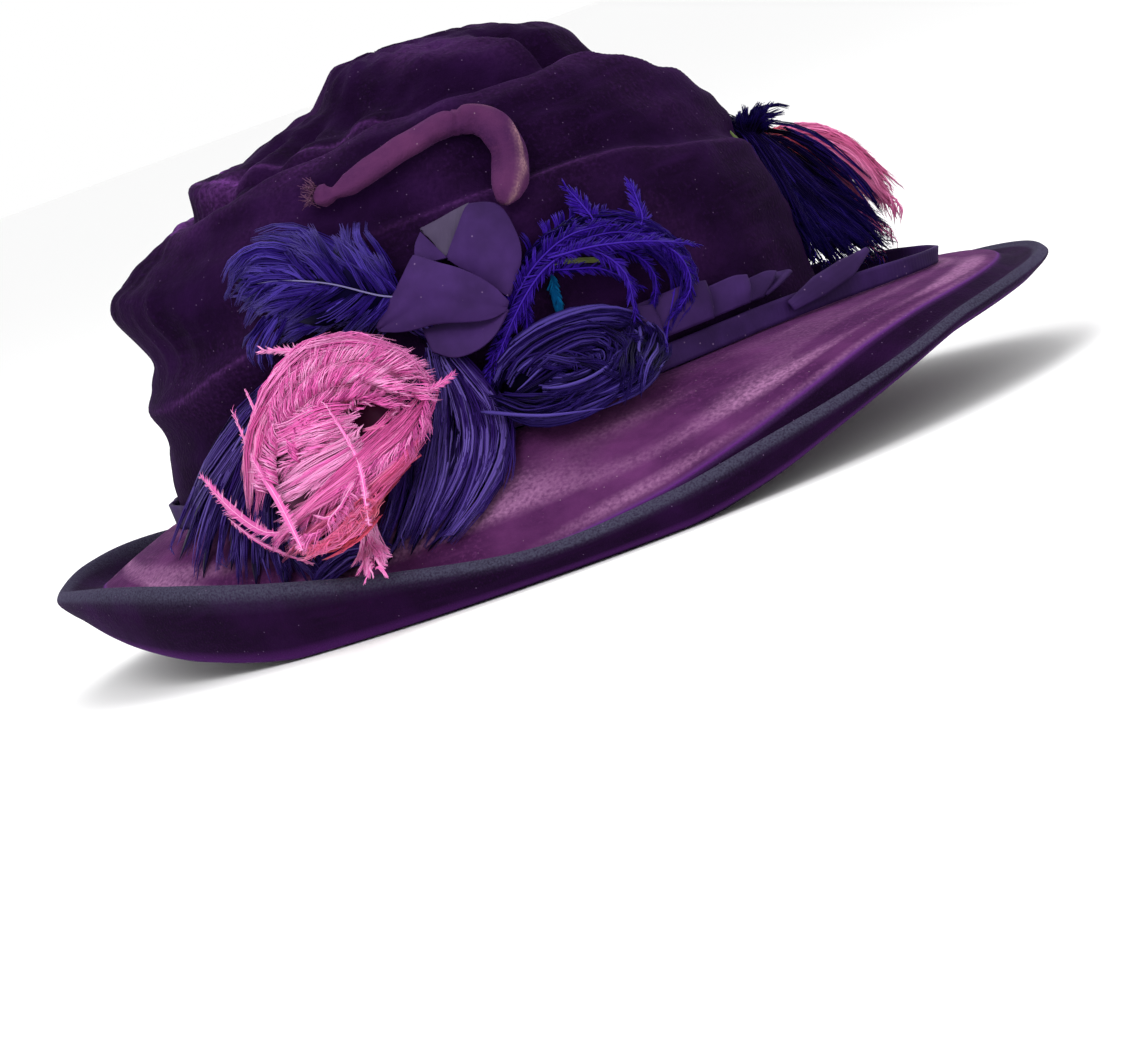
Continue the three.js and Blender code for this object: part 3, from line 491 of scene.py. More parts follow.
def specks(tree, place, scale, size, most):
    """Where dust shows: a small round spot in the middle of each cell of a Voronoi pattern."""
    cells = add_node(tree, "TexVoronoi", {"Vector": place, "Scale": scale})
    return span(tree, cells.outputs["Distance"], *size, most, 0.0)


def raised(tree, height, strength, distance):
    inputs = {"Height": height, "Strength": strength, "Distance": distance}
    return add_node(tree, "Bump", inputs).outputs[0]


def new_material(name):
    material = bpy.data.materials.new(name)
    material.use_nodes = True
    material.node_tree.nodes.clear()
    return material, material.node_tree


def give_surface(tree, inputs):
    shader = add_node(tree, "BsdfPrincipled", inputs)
    add_node(tree, "OutputMaterial", {"Surface": shader.outputs[0]})


def silk_velvet(name, deep, pile, worn_and_highlit, dust, sheen, glow, line="#59306F", pile_mm=0.6):
    """Silk velvet with a cut pile, crushed with use: deep where the pile stands and paler where it lies
    down.
    Crests that each point's value marks are paler still, partly pile flattened by use and partly painted
    highlight, and a line along the points' edge value is a painted highlight. A soft sheen and specks of
    dust."""
    material, tree = new_material(name)
    place = add_node(tree, "TexCoord").outputs["Object"]
    stretched = {"Vector": place, "Scale": (60, 60, 420), "Rotation": (0.3, 0.2, 0.5)}
    streak = add_node(tree, "Mapping", stretched)
    grain = noise(tree, place, 1 / (2 * pile_mm * MM), 2)
    lying = span(tree, noise(tree, place, 32, 5, 0.62), 0.42, 0.68)
    crushed = span(tree, noise(tree, streak.outputs[0], 1, 3), 0.5, 0.75, 0.0, 0.6)
    mottle = span(tree, grain, 0.5, 0.75, 0.0, 0.7)
    laid = calculate(tree, "MAXIMUM", calculate(tree, "MAXIMUM", lying, crushed), mottle)
    body = blend(tree, laid, deep, pile)
    grain_breakup = span(tree, grain, 0.3, 0.7, 0.35, 1.3)
    # Pale crests, per point: partly pile flattened by use, partly painted highlight. The line along the
    # points' edge value is a painted highlight.
    shown = calculate(tree, "MULTIPLY", value_of(tree, "nap_and_highlight"), grain_breakup, use_clamp=True)
    rubbed_and_highlit = blend(tree, shown, body, worn_and_highlit)
    lined = blend(tree, value_of(tree, "edge"), rubbed_and_highlit, line)
    # Dust specks are drawn about 0.3 mm across, coarser than real dust, so that they show.
    dusty = blend(tree, specks(tree, place, 300, (0.03, 0.07), 0.4), lined, dust)
    height = calculate(tree, "ADD", grain, noise(tree, place, 260, 4, 0.6))
    give_surface(tree, {
        "Base Color": dusty,
        "Normal": raised(tree, height, 0.5, 0.0006),
        "Roughness": 0.85,
        "Specular IOR Level": 0.03,
        "Sheen Weight": glow,
        "Sheen Roughness": 0.32,
        "Sheen Tint": sheen,
    })
    return material


# Millimetres from rib to rib, coarser than on real ribbon, so that they show.
RIB_SPACING = 1.7765


def ribbed_ribbon(name, deep, pale, dust):
    """Silk ribbon woven with fine cross ribs: matt, with a faint rib line and faded patches."""
    material, tree = new_material(name)
    place = add_node(tree, "TexCoord")
    fade = span(tree, noise(tree, place.outputs["Object"], 70, 4), 0.4, 0.7)
    body = blend(tree, fade, deep, pale)
    dusty = blend(tree, specks(tree, place.outputs["Object"], 260, (0.04, 0.09), 0.5), body, dust)
    # The UV map is in metres, and a wave texture of scale 1 has 20 radians of wave to a metre.
    scale = 2 * math.pi / (20 * RIB_SPACING * MM)
    ribs = add_node(tree, "TexWave", {"Vector": place.outputs["UV"], "Scale": scale, "Distortion": 0.4})
    give_surface(tree, {
        "Base Color": dusty,
        "Normal": raised(tree, ribs.outputs["Fac"], 0.18, 0.0002),
        "Roughness": 0.7,
        "Specular IOR Level": 0.1,
        "Sheen Weight": 0.12,
        "Sheen Roughness": 0.4,
        "Sheen Tint": pale,
    })
    return material


def dyed_ostrich(name, deep, body, pale, tip, second="#BCB8C4"):
    """Dyed ostrich flues: each lock has its own shade of the dye, deeper towards the quill and paler at its
    ends;
    where tint is set the dye turns to a second colour. Shades below zero darken towards black, a painted
    shade among and under the flues. A soft silky shine lies on each flue."""
    material, tree = new_material(name)
    shade, reach, tint = (value_of(tree, key) for key in ("shade", "reach", "tint"))
    dark = blend(tree, span(tree, shade, 0.0, 0.45), deep, body)
    light = blend(tree, span(tree, shade, 0.55, 1.0), dark, pale)
    tipped = blend(tree, span(tree, reach, 0.55, 1.0, 0.0, 0.5), light, tip)
    tinted = blend(tree, tint, tipped, second)
    give_surface(tree, {
        # Painted shade: shades below zero are darkened towards black.
        "Base Color": blend(tree, span(tree, shade, -1.0, 0.0), (0, 0, 0), tinted),
        "Roughness": 0.42,
        "Specular IOR Level": 0.3,
        "Specular Tint": pale,
    })
    return material


def bare_quill(name, pale, deep):
    """The quill of a feather, scraped bare: a smooth horny stem with pale and deep streaks."""
    material, tree = new_material(name)
    place = add_node(tree, "TexCoord")
    streaks = noise(tree, place.outputs["Object"], 300, 3)
    give_surface(tree, {"Base Color": blend(tree, streaks, deep, pale), "Roughness": 0.42})
    return material


# Properties.


def colour(name, code, description):
    return bpy.props.FloatVectorProperty(
        name=name, description=description, subtype="COLOR", size=3, min=0, max=1, default=linear(code)
    )


class ClocheSizes(bpy.types.PropertyGroup):
    """Sizes that a maker would change."""

    roll_radius: bpy.props.FloatProperty(
        name="Roll radius", description="Radius of the padded velvet roll", default=4.2 * MM, unit="LENGTH"
    )
    ribbon_thickness: bpy.props.FloatProperty(
        name="Ribbon", description="Thickness of the ribbon", default=1.2 * MM, unit="LENGTH"
    )
    flue_width: bpy.props.FloatProperty(
        name="Flue width", description="Width of one ostrich flue at its middle", default=0.55 * MM,
        unit="LENGTH"
    )
    fullness: bpy.props.FloatProperty(
        name="Plume fullness", description="Share of the usual count of flues", default=0.84, min=0.05,
        max=1.2
    )


class ClocheColours(bpy.types.PropertyGroup):
    """Colours of the velvets, ribbon and dyed plumes."""

    velvet: colour("Velvet", "#12031B", "Crown velvet where the pile stands")
    velvet_pile: colour("Velvet pile", "#210930", "Crown velvet where the pile lies down")
    # The crest colour is partly pile flattened by use and partly painted highlight.
    velvet_worn_and_highlit: colour("Velvet crests", "#5C3070", "Crown velvet on worn crests")
    mauve: colour("Mauve", "#3F1A42", "Faded velvet of the brim")
    mauve_pale: colour("Pale mauve", "#5C2C5C", "Faded velvet of the brim where it lies down")
    ribbon: colour("Ribbon", "#28133F", "Ribbon and bow")
    ribbon_pale: colour("Ribbon, faded", "#381F56", "Ribbon where it is faded")
    violet: colour("Violet plume", "#241260", "Violet ostrich plumes")
    arch: colour("Vivid violet plume", "#250C70", "Curled plume beside the bow")
    pink: colour("Pink plume", "#E868B8", "Rosette")


def sizes():
    return bpy.context.scene.cloche_sizes


def colours():
    return bpy.context.scene.cloche_colours


# Velvet.

CROWN_AROUND = 470
CROWN_RISE = 128
INSIDE_RISE = 12
# Climbs at which the skin's even rows end, its last row lies and the lining starts.
SKIN_STOP, SKIN_LAST, LINING_START = np.radians((88.6, 89.3, 88))


def crown_highlight_and_nap(angle, climb):
    """How pale the pile is, 0 to 1: a thin painted highlight along each fold's crest, where the pile is
    also flattened by use, dimmer low down and with a soft pale band under it; and soft cloudy patches, most
    of them on the folds' upper sides and on the back puff, where the pile has been laid flat, and some on
    the top, which are painted sheen."""
    along = along_at(climb)
    place = dome(angle, climb)
    nap_and_highlight = np.zeros(np.broadcast(angle, climb).shape)
    for fold, width, past_crest in (("side", 0.9, 2.0), ("upper", 0.9, 2.2), ("pleat", 1.0, 1.0),
                                    ("band", 0.7, 1.0)):
        crest = along_at(climb_at(column(CROWN_FOLDS, FOLD_COLUMNS, fold, angle))) + past_crest
        height = column(CROWN_FOLDS, FOLD_COLUMNS, fold + "Lift", angle)
        nap_and_highlight = nap_and_highlight + np.clip(height / 4, 0, 1) * bell((along - crest) / width)
        nap_and_highlight = nap_and_highlight + 0.18 * np.clip(height / 4, 0, 1) * bell((along - crest + 4) / 5)
    clouds = np.clip(ripple(place, 42, 31) * 0.7 + 0.1, 0, 1)
    back = smoothstep((-np.cos(np.radians(angle)) - 0.5) / 0.4) * smoothstep((along - 75) / 20)
    # Painted sheen: more pale patches on the top of the crown.
    high = smoothstep((along - 105) / 20)
    low = 0.35 + 0.65 * smoothstep((along - 50) / 25)
    return np.clip(nap_and_highlight * (0.5 + 0.5 * clouds) * low + clouds * (0.08 + 0.35 * back + 0.16 * high), 0, 1)


def velvet_crown():
    """The crown: the draped skin by angle and climb with small wrinkles, and inside it the plain skin set
    in by the wall, closed at the top by two poles and at the foot by one ring."""
    angles = np.arange(CROWN_AROUND) * 360 / CROWN_AROUND
    climbs = np.concatenate([np.linspace(0, 1, CROWN_RISE)[:-1] * SKIN_STOP, [SKIN_LAST]])
    inside = np.linspace(LINING_START, 0, INSIDE_RISE)
    a, c = np.meshgrid(angles, climbs)
    ai, ci = np.meshgrid(angles, inside)
    skin = crown_point(a, c, crush(a, c))
    lining = crown_point(ai, ci, np.full(ai.shape, -CROWN_WALL))
    poles = np.stack([
        crown_point(np.array(0.0), np.array(QUARTER), np.array(-CROWN_WALL)),
        crown_point(np.array(0.0), np.array(QUARTER), np.array(0.0)),
    ])
    rows = INSIDE_RISE + CROWN_RISE
    points = np.concatenate([lining.reshape(-1, 3), skin.reshape(-1, 3), poles])
    walls = grid_faces(rows, CROWN_AROUND)
    ring = np.arange(CROWN_AROUND)
    low = fan(ring, len(points) - 2)[:, [1, 0, 2]]
    top = fan((rows - 1) * CROWN_AROUND + ring, len(points) - 1)
    nap_and_highlight = np.concatenate([np.zeros(lining.shape[:2]).reshape(-1), crown_highlight_and_nap(a, c).reshape(-1), [0, 0]])
    return points, [walls, low, top], nap_and_highlight


class CLOCHE_OT_crown(bpy.types.Operator):
    """Drape the velvet crown"""

    bl_idname = "cloche.crown"
    bl_label = "Velvet crown"

    def execute(self, context):
        points, faces, nap_and_highlight = velvet_crown()
        tints = colours()
        velvet = silk_velvet(
            "silk velvet, cut pile", tints.velvet, tints.velvet_pile, tints.velvet_worn_and_highlit, "#8A7098",
            "#5A2A78", 0.16,
        )
        piece = make_piece("velvet_crown", points, faces, [velvet], {"nap_and_highlight": nap_and_highlight})
        return {"FINISHED"}


BRIM_AROUND = 480
# Places along the brim's section, counted in its twenty points: the binding's start and end, and the
# nap's end.
BINDING_START, BINDING_END, NAP_END = 4.3, 16, 5


def brim_rows(angle):
    """Distance in from the rim and height of the brim's section, from the crown over the top, round the
    rolled rim and back under, each an array over the angles."""
    crease, gutter, rim, under = (brim_height(name, angle) for name in BRIM_COLUMNS[1:])
    floor = np.maximum(0, under)
    reach = reach_at(angle)
    ledge = reach - LEDGE_WIDTH
    one = np.ones_like(angle)

    def slope(t):
        return ledge + (CREASE_INSET + 1 - ledge) * t

    rows = [
        (reach, LEDGE_TOP * one),
        (ledge, LEDGE_TOP * one),
        (slope(0.35), brim_top(angle, slope(0.35))),
        (slope(0.7), brim_top(angle, slope(0.7))),
        ((CREASE_INSET + 1) * one, crease),
        ((CREASE_INSET - 2.5) * one, crease - 0.35 * (crease - gutter) - 0.6),
        (GUTTER_INSET * one, gutter),
        (6 * one, gutter + 0.35 * (rim - gutter)),
        (3.5 * one, rim - 0.8),
        (1.8 * one, rim),
        (0 * one, rim - 2),
        (0.3 * one, 0.5 * (rim + floor)),
        (3 * one, floor + 1.6),
        (6.5 * one, floor),
        (11.5 * one, floor),
        ((CREASE_INSET + 2) * one, np.maximum(floor, crease - BRIM_THICKNESS - 1)),
        (slope(0.7), brim_top(angle, slope(0.7)) - BRIM_THICKNESS),
        (slope(0.35), brim_top(angle, slope(0.35)) - BRIM_THICKNESS),
        (ledge, (LEDGE_TOP - BRIM_THICKNESS) * one),
        (reach, (LEDGE_TOP - BRIM_THICKNESS) * one),
    ]
    return np.array([np.stack(row) for row in rows])


# Steps from each of the section's points to the next, and the points that a straight line follows.
STRAIGHT_AFTER = (0, 18, 19)
STEPS_BETWEEN = (1, 4, 8, 8, 4, 4, 3, 3, 3, 3, 3, 3, 3, 3, 3, 3, 4, 4, 1, 1)


def velvet_brim():
    """The brim: a section of twenty points smoothed by a Catmull-Rom curve and carried round the hat."""
    angles = np.arange(BRIM_AROUND) * 360 / BRIM_AROUND
    rows = brim_rows(angles)
    count = len(rows)
    section, part = [], []
    for i, steps in enumerate(STEPS_BETWEEN):
        a, b, c, d = (rows[(i + k) % count] for k in (-1, 0, 1, 2))
        for t in np.arange(steps) / steps:
            straight = b + (c - b) * t
            section.append(straight if i in STRAIGHT_AFTER else catmull_rom(a, b, c, d, t))
            part.append(i + t)
    section, part = np.array(section), np.array(part)
    inset, height = section[:, 0], np.maximum(section[:, 1], 0)
    place = brim_place(np.broadcast_to(angles, inset.shape), inset, height)
    return place, part, angles


def brim_nap(place, part, angles):
    """Where the brim's top is faded pale by rubbing: streaks that run along the edge, strongest before the
    crease in front."""
    a = np.radians(angles)[None, :]
    run = np.broadcast_to(part[:, None], place.shape[:2])
    lie = np.stack(np.broadcast_arrays(75 * np.cos(a), 75 * np.sin(a), run * 55), -1)
    streak = np.clip(ripple(lie, 45, 12, 40) * 0.8 + 0.15, 0, 1)
    before_crease = bell((run - 3.4) / 0.9)
    return np.clip((0.25 + 0.75 * before_crease) * streak * (run < NAP_END), 0, 1)


class CLOCHE_OT_brim(bpy.types.Operator):
    """Make the brim with its rolled velvet binding"""

    bl_idname = "cloche.brim"
    bl_label = "Velvet brim"

    def execute(self, context):
        place, part, angles = velvet_brim()
        rows = len(part)
        faces = grid_faces(rows, BRIM_AROUND, closed_rows=True)
        bound = np.repeat(((part >= BINDING_START) & (part < BINDING_END)).astype(int), BRIM_AROUND)
        tints = colours()
        top = silk_velvet(
            "silk velvet, faded", tints.mauve, tints.mauve_pale, "#8E6088", "#B49AA8",
            "#8A5C98", 0.2,
        )
        # In the binding, the pale crest colour is a painted reflection, the grey sheen on the rounded rim,
        # and the line colour a painted highlight.
        binding = silk_velvet(
            "silk velvet, binding", "#14051C", "#240A30", "#3C3A4C", "#8A7098",
            "#5C4A78", 0.25, line="#6A2E84", pile_mm=0.3,
        )
        nap_and_highlight = brim_nap(place, part, angles)
        # Painted reflection: a grey band along the top of the rounded rim stands for the velvet's sheen
        # there, and a painted highlight draws a thin line where the binding starts and where it turns
        # under.
        rim = smoothstep((part - 7.2) / 0.8) * (1 - smoothstep((part - 9.9) / 0.6))
        shine = 0.8 * bell((part - NAP_END + 0.45) / 0.16) + 0.45 * bell((part - 12.2) / 0.3)
        nap_and_highlight = np.maximum(nap_and_highlight, np.broadcast_to(0.95 * rim[:, None], nap_and_highlight.shape))
        edge = np.broadcast_to(shine.clip(0, 1)[:, None], nap_and_highlight.shape)
        piece = make_piece(
            "velvet_brim", place.reshape(-1, 3), [faces[:, ::-1]], [top, binding],
            {"nap_and_highlight": nap_and_highlight.reshape(-1), "edge": edge.reshape(-1)}, face_material=bound,
        )
        return {"FINISHED"}


# Ribbon and roll.

ROLL_LIFT = 5.0
ROLL_LINE = np.array([
    (-42.5, 120.6), (-37.5, 119.2), (-28, 121), (-18, 123.6), (-8, 125.8), (1, 127), (8, 126), (13, 122),
    (15, 115.5), (14, 109.5), (11.5, 104.5), (8, 100),
], float)
# Share of the roll's radius along its length, from the stub at the left to the hooked end.
ROLL_GIRTH = ([0, 0.04, 0.075, 0.13, 0.45, 0.52, 0.62, 0.88, 1],
              [0.6, 0.8, 0.42, 0.8, 0.88, 0.95, 1.08, 1.08, 0.8])
ROLL_STEPS, ROLL_SIDES = 150, 28
THREADS = 70


def roll_size(t, turn, radius):
    """The roll's radius by length and turn: creases at the bend, an uneven filling and two long dents."""
    taper = np.clip(np.minimum(t / 0.02, (1 - t) / 0.04), 0, 1) ** 0.5
    pinch = 0.3 * bell((t - 0.52 - 0.02 * np.sin(turn)) / 0.012) + 0.26 * bell((t - 0.55) / 0.01)
    pinch = pinch + 0.3 * bell((t - 0.62 + 0.015 * np.cos(turn)) / 0.02) * bell((np.cos(turn) - 1) / 0.8)
    around = np.stack([np.cos(turn) * 4, np.sin(turn) * 4, t * 60], -1)
    lumps = (
        0.05 * ripple(around, 9, 4) + 0.05 * ripple(around * (1, 1, 0.3), 4, 6)
        + 0.05 * np.sin(2 * turn + 7 * t) + 0.04 * np.sin(3 * turn - 5 * t)
    )
    dents = 0.12 * bell((turn - 1.1 - 0.3 * np.sin(6 * t)) / 0.28)
    dents = dents + 0.08 * bell((turn - 2.0 + 0.4 * t) / 0.2)
    size = radius * np.interp(t, *ROLL_GIRTH) * (0.25 + 0.75 * taper)
    return size * (1 - pinch * (0.6 + 0.4 * np.cos(turn - 2.4))) * (1 + lumps) * (1 - dents), around


def velvet_roll(radius):
    """The roll: rounds carried along its line, wider across after the bend, with torn threads at its left
    end."""
    spots = np.column_stack([ROLL_LINE, np.full(len(ROLL_LINE), ROLL_LIFT)])
    t = np.linspace(0, 1, ROLL_STEPS)
    line = smooth_line(beside(spots), t)
    tangent = unit(np.gradient(line, axis=0))
    flat = square_to(tangent, smooth_line(facing_beside(spots), t))
    across = np.cross(tangent, flat)
    tt, aa = np.meshgrid(t, 2 * math.pi * np.arange(ROLL_SIDES) / ROLL_SIDES, indexing="ij")
    size, around = roll_size(tt, aa, radius)
    wide = 1 + 0.22 * smoothstep((tt - 0.5) / 0.2) * smoothstep((1 - tt) / 0.1)
    ring = (
        line[:, None]
        + across[:, None] * (size * wide * np.cos(aa))[..., None]
        + flat[:, None] * (size * np.sin(aa))[..., None]
    )
    points = np.concatenate([ring.reshape(-1, 3), line[:1], line[-1:]])
    walls = grid_faces(ROLL_STEPS, ROLL_SIDES)
    i = np.arange(ROLL_SIDES)
    first = fan(i, len(points) - 2)[:, [1, 0, 2]]
    last = fan((ROLL_STEPS - 1) * ROLL_SIDES + i, len(points) - 1)
    # A pale band along one side of the roll from the bend on: partly pile flattened by use, partly painted
    # highlight.
    worn_and_highlit = bell((aa - 2.35) / 0.3) * smoothstep((tt - 0.5) / 0.2) * (0.5 + 0.5 * ripple(around, 8, 9))
    nap_and_highlight = np.concatenate([np.clip(worn_and_highlit, 0, 1).reshape(-1), [0, 0]])
    rng = np.random.default_rng(91)
    u = np.linspace(0, 1, 6)
    way = rng.normal(0, 0.55, (THREADS, 3)) - 1.1 * tangent[0] + 0.25 * flat[0]
    aside, out = rng.uniform(-3, 3, (THREADS, 1)), rng.uniform(-2, 3, (THREADS, 1))
    root = line[1] + (across[0] * aside + flat[0] * out)
    bent = rng.normal(0, 1.0, (THREADS, 1, 3)) * (u**2)[:, None]
    threads = root[:, None] + way[:, None] * (u * 2.2)[:, None] + bent
    half = np.broadcast_to(0.22 * (1 - 0.6 * u), (THREADS, len(u)))
    more, sheets = strands(threads, half, half, np.broadcast_to(flat[0], threads.shape))
    faces = [part[:, ::-1] for part in (walls, first, last)] + [part + len(points) for part in sheets]
    return np.concatenate([points, more]), faces, np.concatenate([nap_and_highlight, rng.uniform(0, 0.5, len(more))])


class CLOCHE_OT_roll(bpy.types.Operator):
    """Make the padded velvet roll"""

    bl_idname = "cloche.roll"
    bl_label = "Velvet roll"

    def execute(self, context):
        points, faces, nap_and_highlight = velvet_roll(sizes().roll_radius / MM)
        velvet = silk_velvet(
            "silk velvet, worn roll", "#38193F", "#53294F", "#8A6670", "#B49AA8",
            "#8A5C98", 0.2, pile_mm=0.4,
        )
        piece = make_piece("velvet_roll", points, faces, [velvet], {"nap_and_highlight": nap_and_highlight})
        return {"FINISHED"}


def loop_of_ribbon(top, low, swell, folds=None, n=36):
    """A loop of ribbon between two smooth edges, each a list of x, height and lift off the velvet:
    straight from edge to edge, with a swell in its middle and folds added to its lift, laid on the velvet
    by marching."""
    u, v = np.meshgrid(np.linspace(0, 1, n), np.linspace(0, 1, n))
    first, last = smooth_line(top, u), smooth_line(low, u)
    spots = first + (last - first) * v[..., None]
    spots[..., 2] += swell * np.sin(math.pi * u) * np.sin(math.pi * v)
    if folds is not None:
        spots[..., 2] += folds(u, v)
    return beside(spots)


def upper_folds(u, v):
    return 0.7 * bell((u - 0.62 + 0.1 * v) / 0.06) * (1 - v) - 0.8 * bell((u - 0.3 - 0.1 * v) / 0.06) * v


def lower_folds(u, v):
    return 0.35 * bell((v - 0.3 - 0.3 * u) / 0.14) * (1 - u) - 0.4 * bell((v - 0.62) / 0.14)


def ribbon_piece(node, sheets, half, material):
    """A piece of one or more sheets, each given by its middle surface and its size on the ribbon."""
    points, faces, uvs, base = [], [], [], 0
    for middle, size in sheets:
        sheet_points, sheet_faces = sheet_solid(middle, half)
        rows, cols = middle.shape[:2]
        u, v = np.meshgrid(np.linspace(0, size[0], cols), np.linspace(0, size[1], rows))
        uvs.append(np.tile(np.stack([u, v], -1).reshape(-1, 2), (2, 1)) * MM)
        points.append(sheet_points)
        faces += [part + base for part in sheet_faces]
        base += len(sheet_points)
    return make_piece(node, np.concatenate(points), faces, [material], uv=np.concatenate(uvs))


def band_turn(angle, share):
    """The band's wall by angle and height share: snug at the crown's foot, swinging out on the brim in
    front."""
    turned = (angle + 540) % 360 - 180
    snug = reach_at(angle) - (CROWN_HALF[0] - HEAD_HALF[0]) - 2.4
    inset = snug - 34 * bell(turned / 27)
    foot = brim_top(angle, inset) + GAP + 0.1
    edge = foot + 7 + (4.5 - 7) * bell(turned / 25)
    lean = 1.2 * bell(turned / 30)
    wave = 0.35 * np.sin(np.radians(angle) * 23) + 0.25 * np.sin(np.radians(angle) * 41 + 1)
    return brim_place(angle, inset - lean * share + wave * share, foot + (edge - foot) * share)


# Millimetres along a pleat for each degree round the crown.
PLEAT_DEGREE = 1.35
BAND_AROUND = 240
BAND_ROWS = 7
TAIL_STEPS = 40
# Half thicknesses of the ribbon where it isn't the thickness property: the tail's, the bow's and its
# wrong side's.
TAIL_HALF, BOW_HALF, BACK_HALF = 0.55, 0.5, 0.4


def pleat(start, stop, crest, bulge, slant):
    """One pleat of the ruffle between two angles: a curve through a few spots, round the crown and off
    it, rises to its right edge, rolls over there and runs back under itself; it is carried straight up to
    the crest."""
    wide = PLEAT_DEGREE * (stop - start)
    path = smooth_line([
        (0, 0.4), (0.45 * wide, 0.55 * bulge), (wide - 1.4, bulge), (wide - 0.3, bulge - 0.2),
        (wide + 0.3, bulge - 1.1), (wide - 0.4, bulge - 2.0), (wide - 2.4, bulge - 2.4),
    ], np.linspace(0, 1, 44))
    share = np.linspace(0, 1, 14)[:, None]
    angle = start + path[:, 0] / PLEAT_DEGREE + slant * (share - 0.5)
    lift = 2.8 + path[:, 1] * (0.8 + 0.2 * np.sin(math.pi * share))
    height = 9 + (crest - 9) * share - 1.2 * bell((path[:, 0] - wide) / 2.5) * share
    return crown_point(angle, climb_at(height), lift)


class CLOCHE_OT_ribbons(bpy.types.Operator):
    """Make the ribbon band, ruffle, tail and bow"""

    bl_idname = "cloche.ribbons"
    bl_label = "Ribbon and bow"

    def execute(self, context):
        tints = colours()
        thickness = sizes().ribbon_thickness / MM
        dust = "#8A7098"
        ribbon = ribbed_ribbon("silk ribbon, ribbed", tints.ribbon, tints.ribbon_pale, dust)
        wrong = ribbed_ribbon("silk ribbon, wrong side", "#3A3048", "#4A4058", dust)

        # Band.
        a, s = np.meshgrid(np.arange(BAND_AROUND) * 360 / BAND_AROUND, np.linspace(0, 1, BAND_ROWS))
        middle = band_turn(a, s)
        away = unit(np.gradient(middle, axis=0))
        round_way = unit(np.roll(middle, -1, 1) - np.roll(middle, 1, 1))
        normal = unit(np.cross(round_way, away)) * thickness / 2
        ring = np.concatenate([middle + normal, (middle - normal)[::-1]])
        faces = grid_faces(2 * BAND_ROWS, BAND_AROUND, closed_rows=True)
        uv = np.stack([a * 2.3, s * 7], -1)
        uv = np.concatenate([uv, uv[::-1]]).reshape(-1, 2) * MM
        band = make_piece("ribbon_band", ring.reshape(-1, 3), [faces], [ribbon], uv=uv)

        # Ruffle.
        pleats = [pleat(*row) for row in (
            (-77, -62.5, 20, 4.6, 0), (-66, -52.3, 20.5, 5, 1), (-55, -43.6, 17.5, 4.6, 1.5),
            (-46.5, -37.5, 15, 3.4, 6), (-37.5, -34.5, 13.2, 3.6, 9),
        )]
        sheets = [(middle[::-1], (24, 11)) for middle in pleats]
        ruffle = ribbon_piece("ribbon_ruffle", sheets, thickness / 2, ribbon)

        # Tail.
        t = np.linspace(0, 1, TAIL_STEPS)
        line = smooth_line([(77.5, -58.6, 42), (88, -51.3, 44.2), (98, -43, 46), (106, -34, 48.2)], t)
        facing = unit(np.array([0.35, -0.85, 0.35]))
        tangent = unit(np.gradient(line, axis=0))
        across = unit(np.cross(tangent, facing))
        width = read_list([3, 6.5, 6, 1], t) / 2
        share = np.linspace(-1, 1, 9)
        middle = line[:, None] + across[:, None] * (width[:, None] * share)[..., None]
        middle = middle + facing * (0.8 * (1 - share**2))[None, :, None] * 0.6
        tail = ribbon_piece("ribbon_tail", [(middle, (6, 45))], TAIL_HALF, ribbon)

        # Bow.
        middle = loop_of_ribbon(
            [(-12.2, 91.6, 5), (-7, 97.4, 5.5), (-2.4, 102.7, 6), (-0.8, 103.4, 6), (6, 101, 6.6),
             (8.4, 95, 7), (8, 85, 7.5), (1.2, 75.6, 8)],
            [(-12.1, 90.8, 5), (-10, 87.9, 5.4), (-8, 85.6, 5.8), (-6.5, 83.8, 6.2), (-4.8, 81.6, 6.8),
             (-3, 79.2, 7.2), (-1, 76.8, 7.8), (0.4, 75, 8)],
            1.8, upper_folds,
        )
        upper = ribbon_piece("bow_upper", [(middle[::-1], (16, 24))], BOW_HALF, ribbon)
        main = loop_of_ribbon(
            [(-38, 79.5, 8), (-32.5, 84.7, 8), (-26.5, 90.2, 7.8), (-21.8, 94.6, 7.8), (-20.4, 94.8, 8),
             (-15.5, 91.2, 9.2), (-9.5, 87, 10.4), (-3.6, 80.8, 11.4), (0.2, 74, 12)],
            [(-37.8, 78, 8.5), (-34, 76.6, 8.6), (-30, 75.6, 8.8), (-26, 75.2, 9.2), (-22.7, 75, 9.6),
             (-18, 74, 10.4), (-13, 72.5, 11.2), (-7, 71.2, 12), (-1.5, 71.6, 12)],
            2.6, lower_folds,
        )
        lip = loop_of_ribbon(
            [(-26, 77, 4), (-19, 75, 3), (-10, 72.5, 3), (-2, 73, 10)],
            [(-25.5, 67.8, 9.5), (-20, 64.2, 11), (-13, 64, 11.5), (-6.5, 66.6, 12), (-0.8, 71.8, 12)], 2.4,
        )
        turned = loop_of_ribbon(
            [(-21, 94, 5.2), (-19.6, 97.6, 5), (-17, 100.6, 4.6)],
            [(-19.5, 92.6, 5.6), (-15.5, 91.6, 5.4), (-12.4, 91.2, 4.8)], 0.4,
        )
        sheets = [(main[::-1], (29, 20)), (lip[::-1], (24, 11)), (turned[::-1], (8, 8))]
        lower = ribbon_piece("bow_lower", sheets, BOW_HALF, ribbon)
        middle = loop_of_ribbon(
            [(-16.8, 101.4, 2.6), (-12, 102, 2.6), (-6, 103, 2.6), (-1, 103.6, 2.6)],
            [(-16.4, 100.8, 2.8), (-14.4, 96.2, 3.4), (-12.6, 91.6, 3.8), (-6, 97.4, 3.8)], 0.3,
        )
        back = ribbon_piece("bow_back", [(middle[::-1], (20, 10))], BACK_HALF, wrong)
        return {"FINISHED"}


# Plumes.


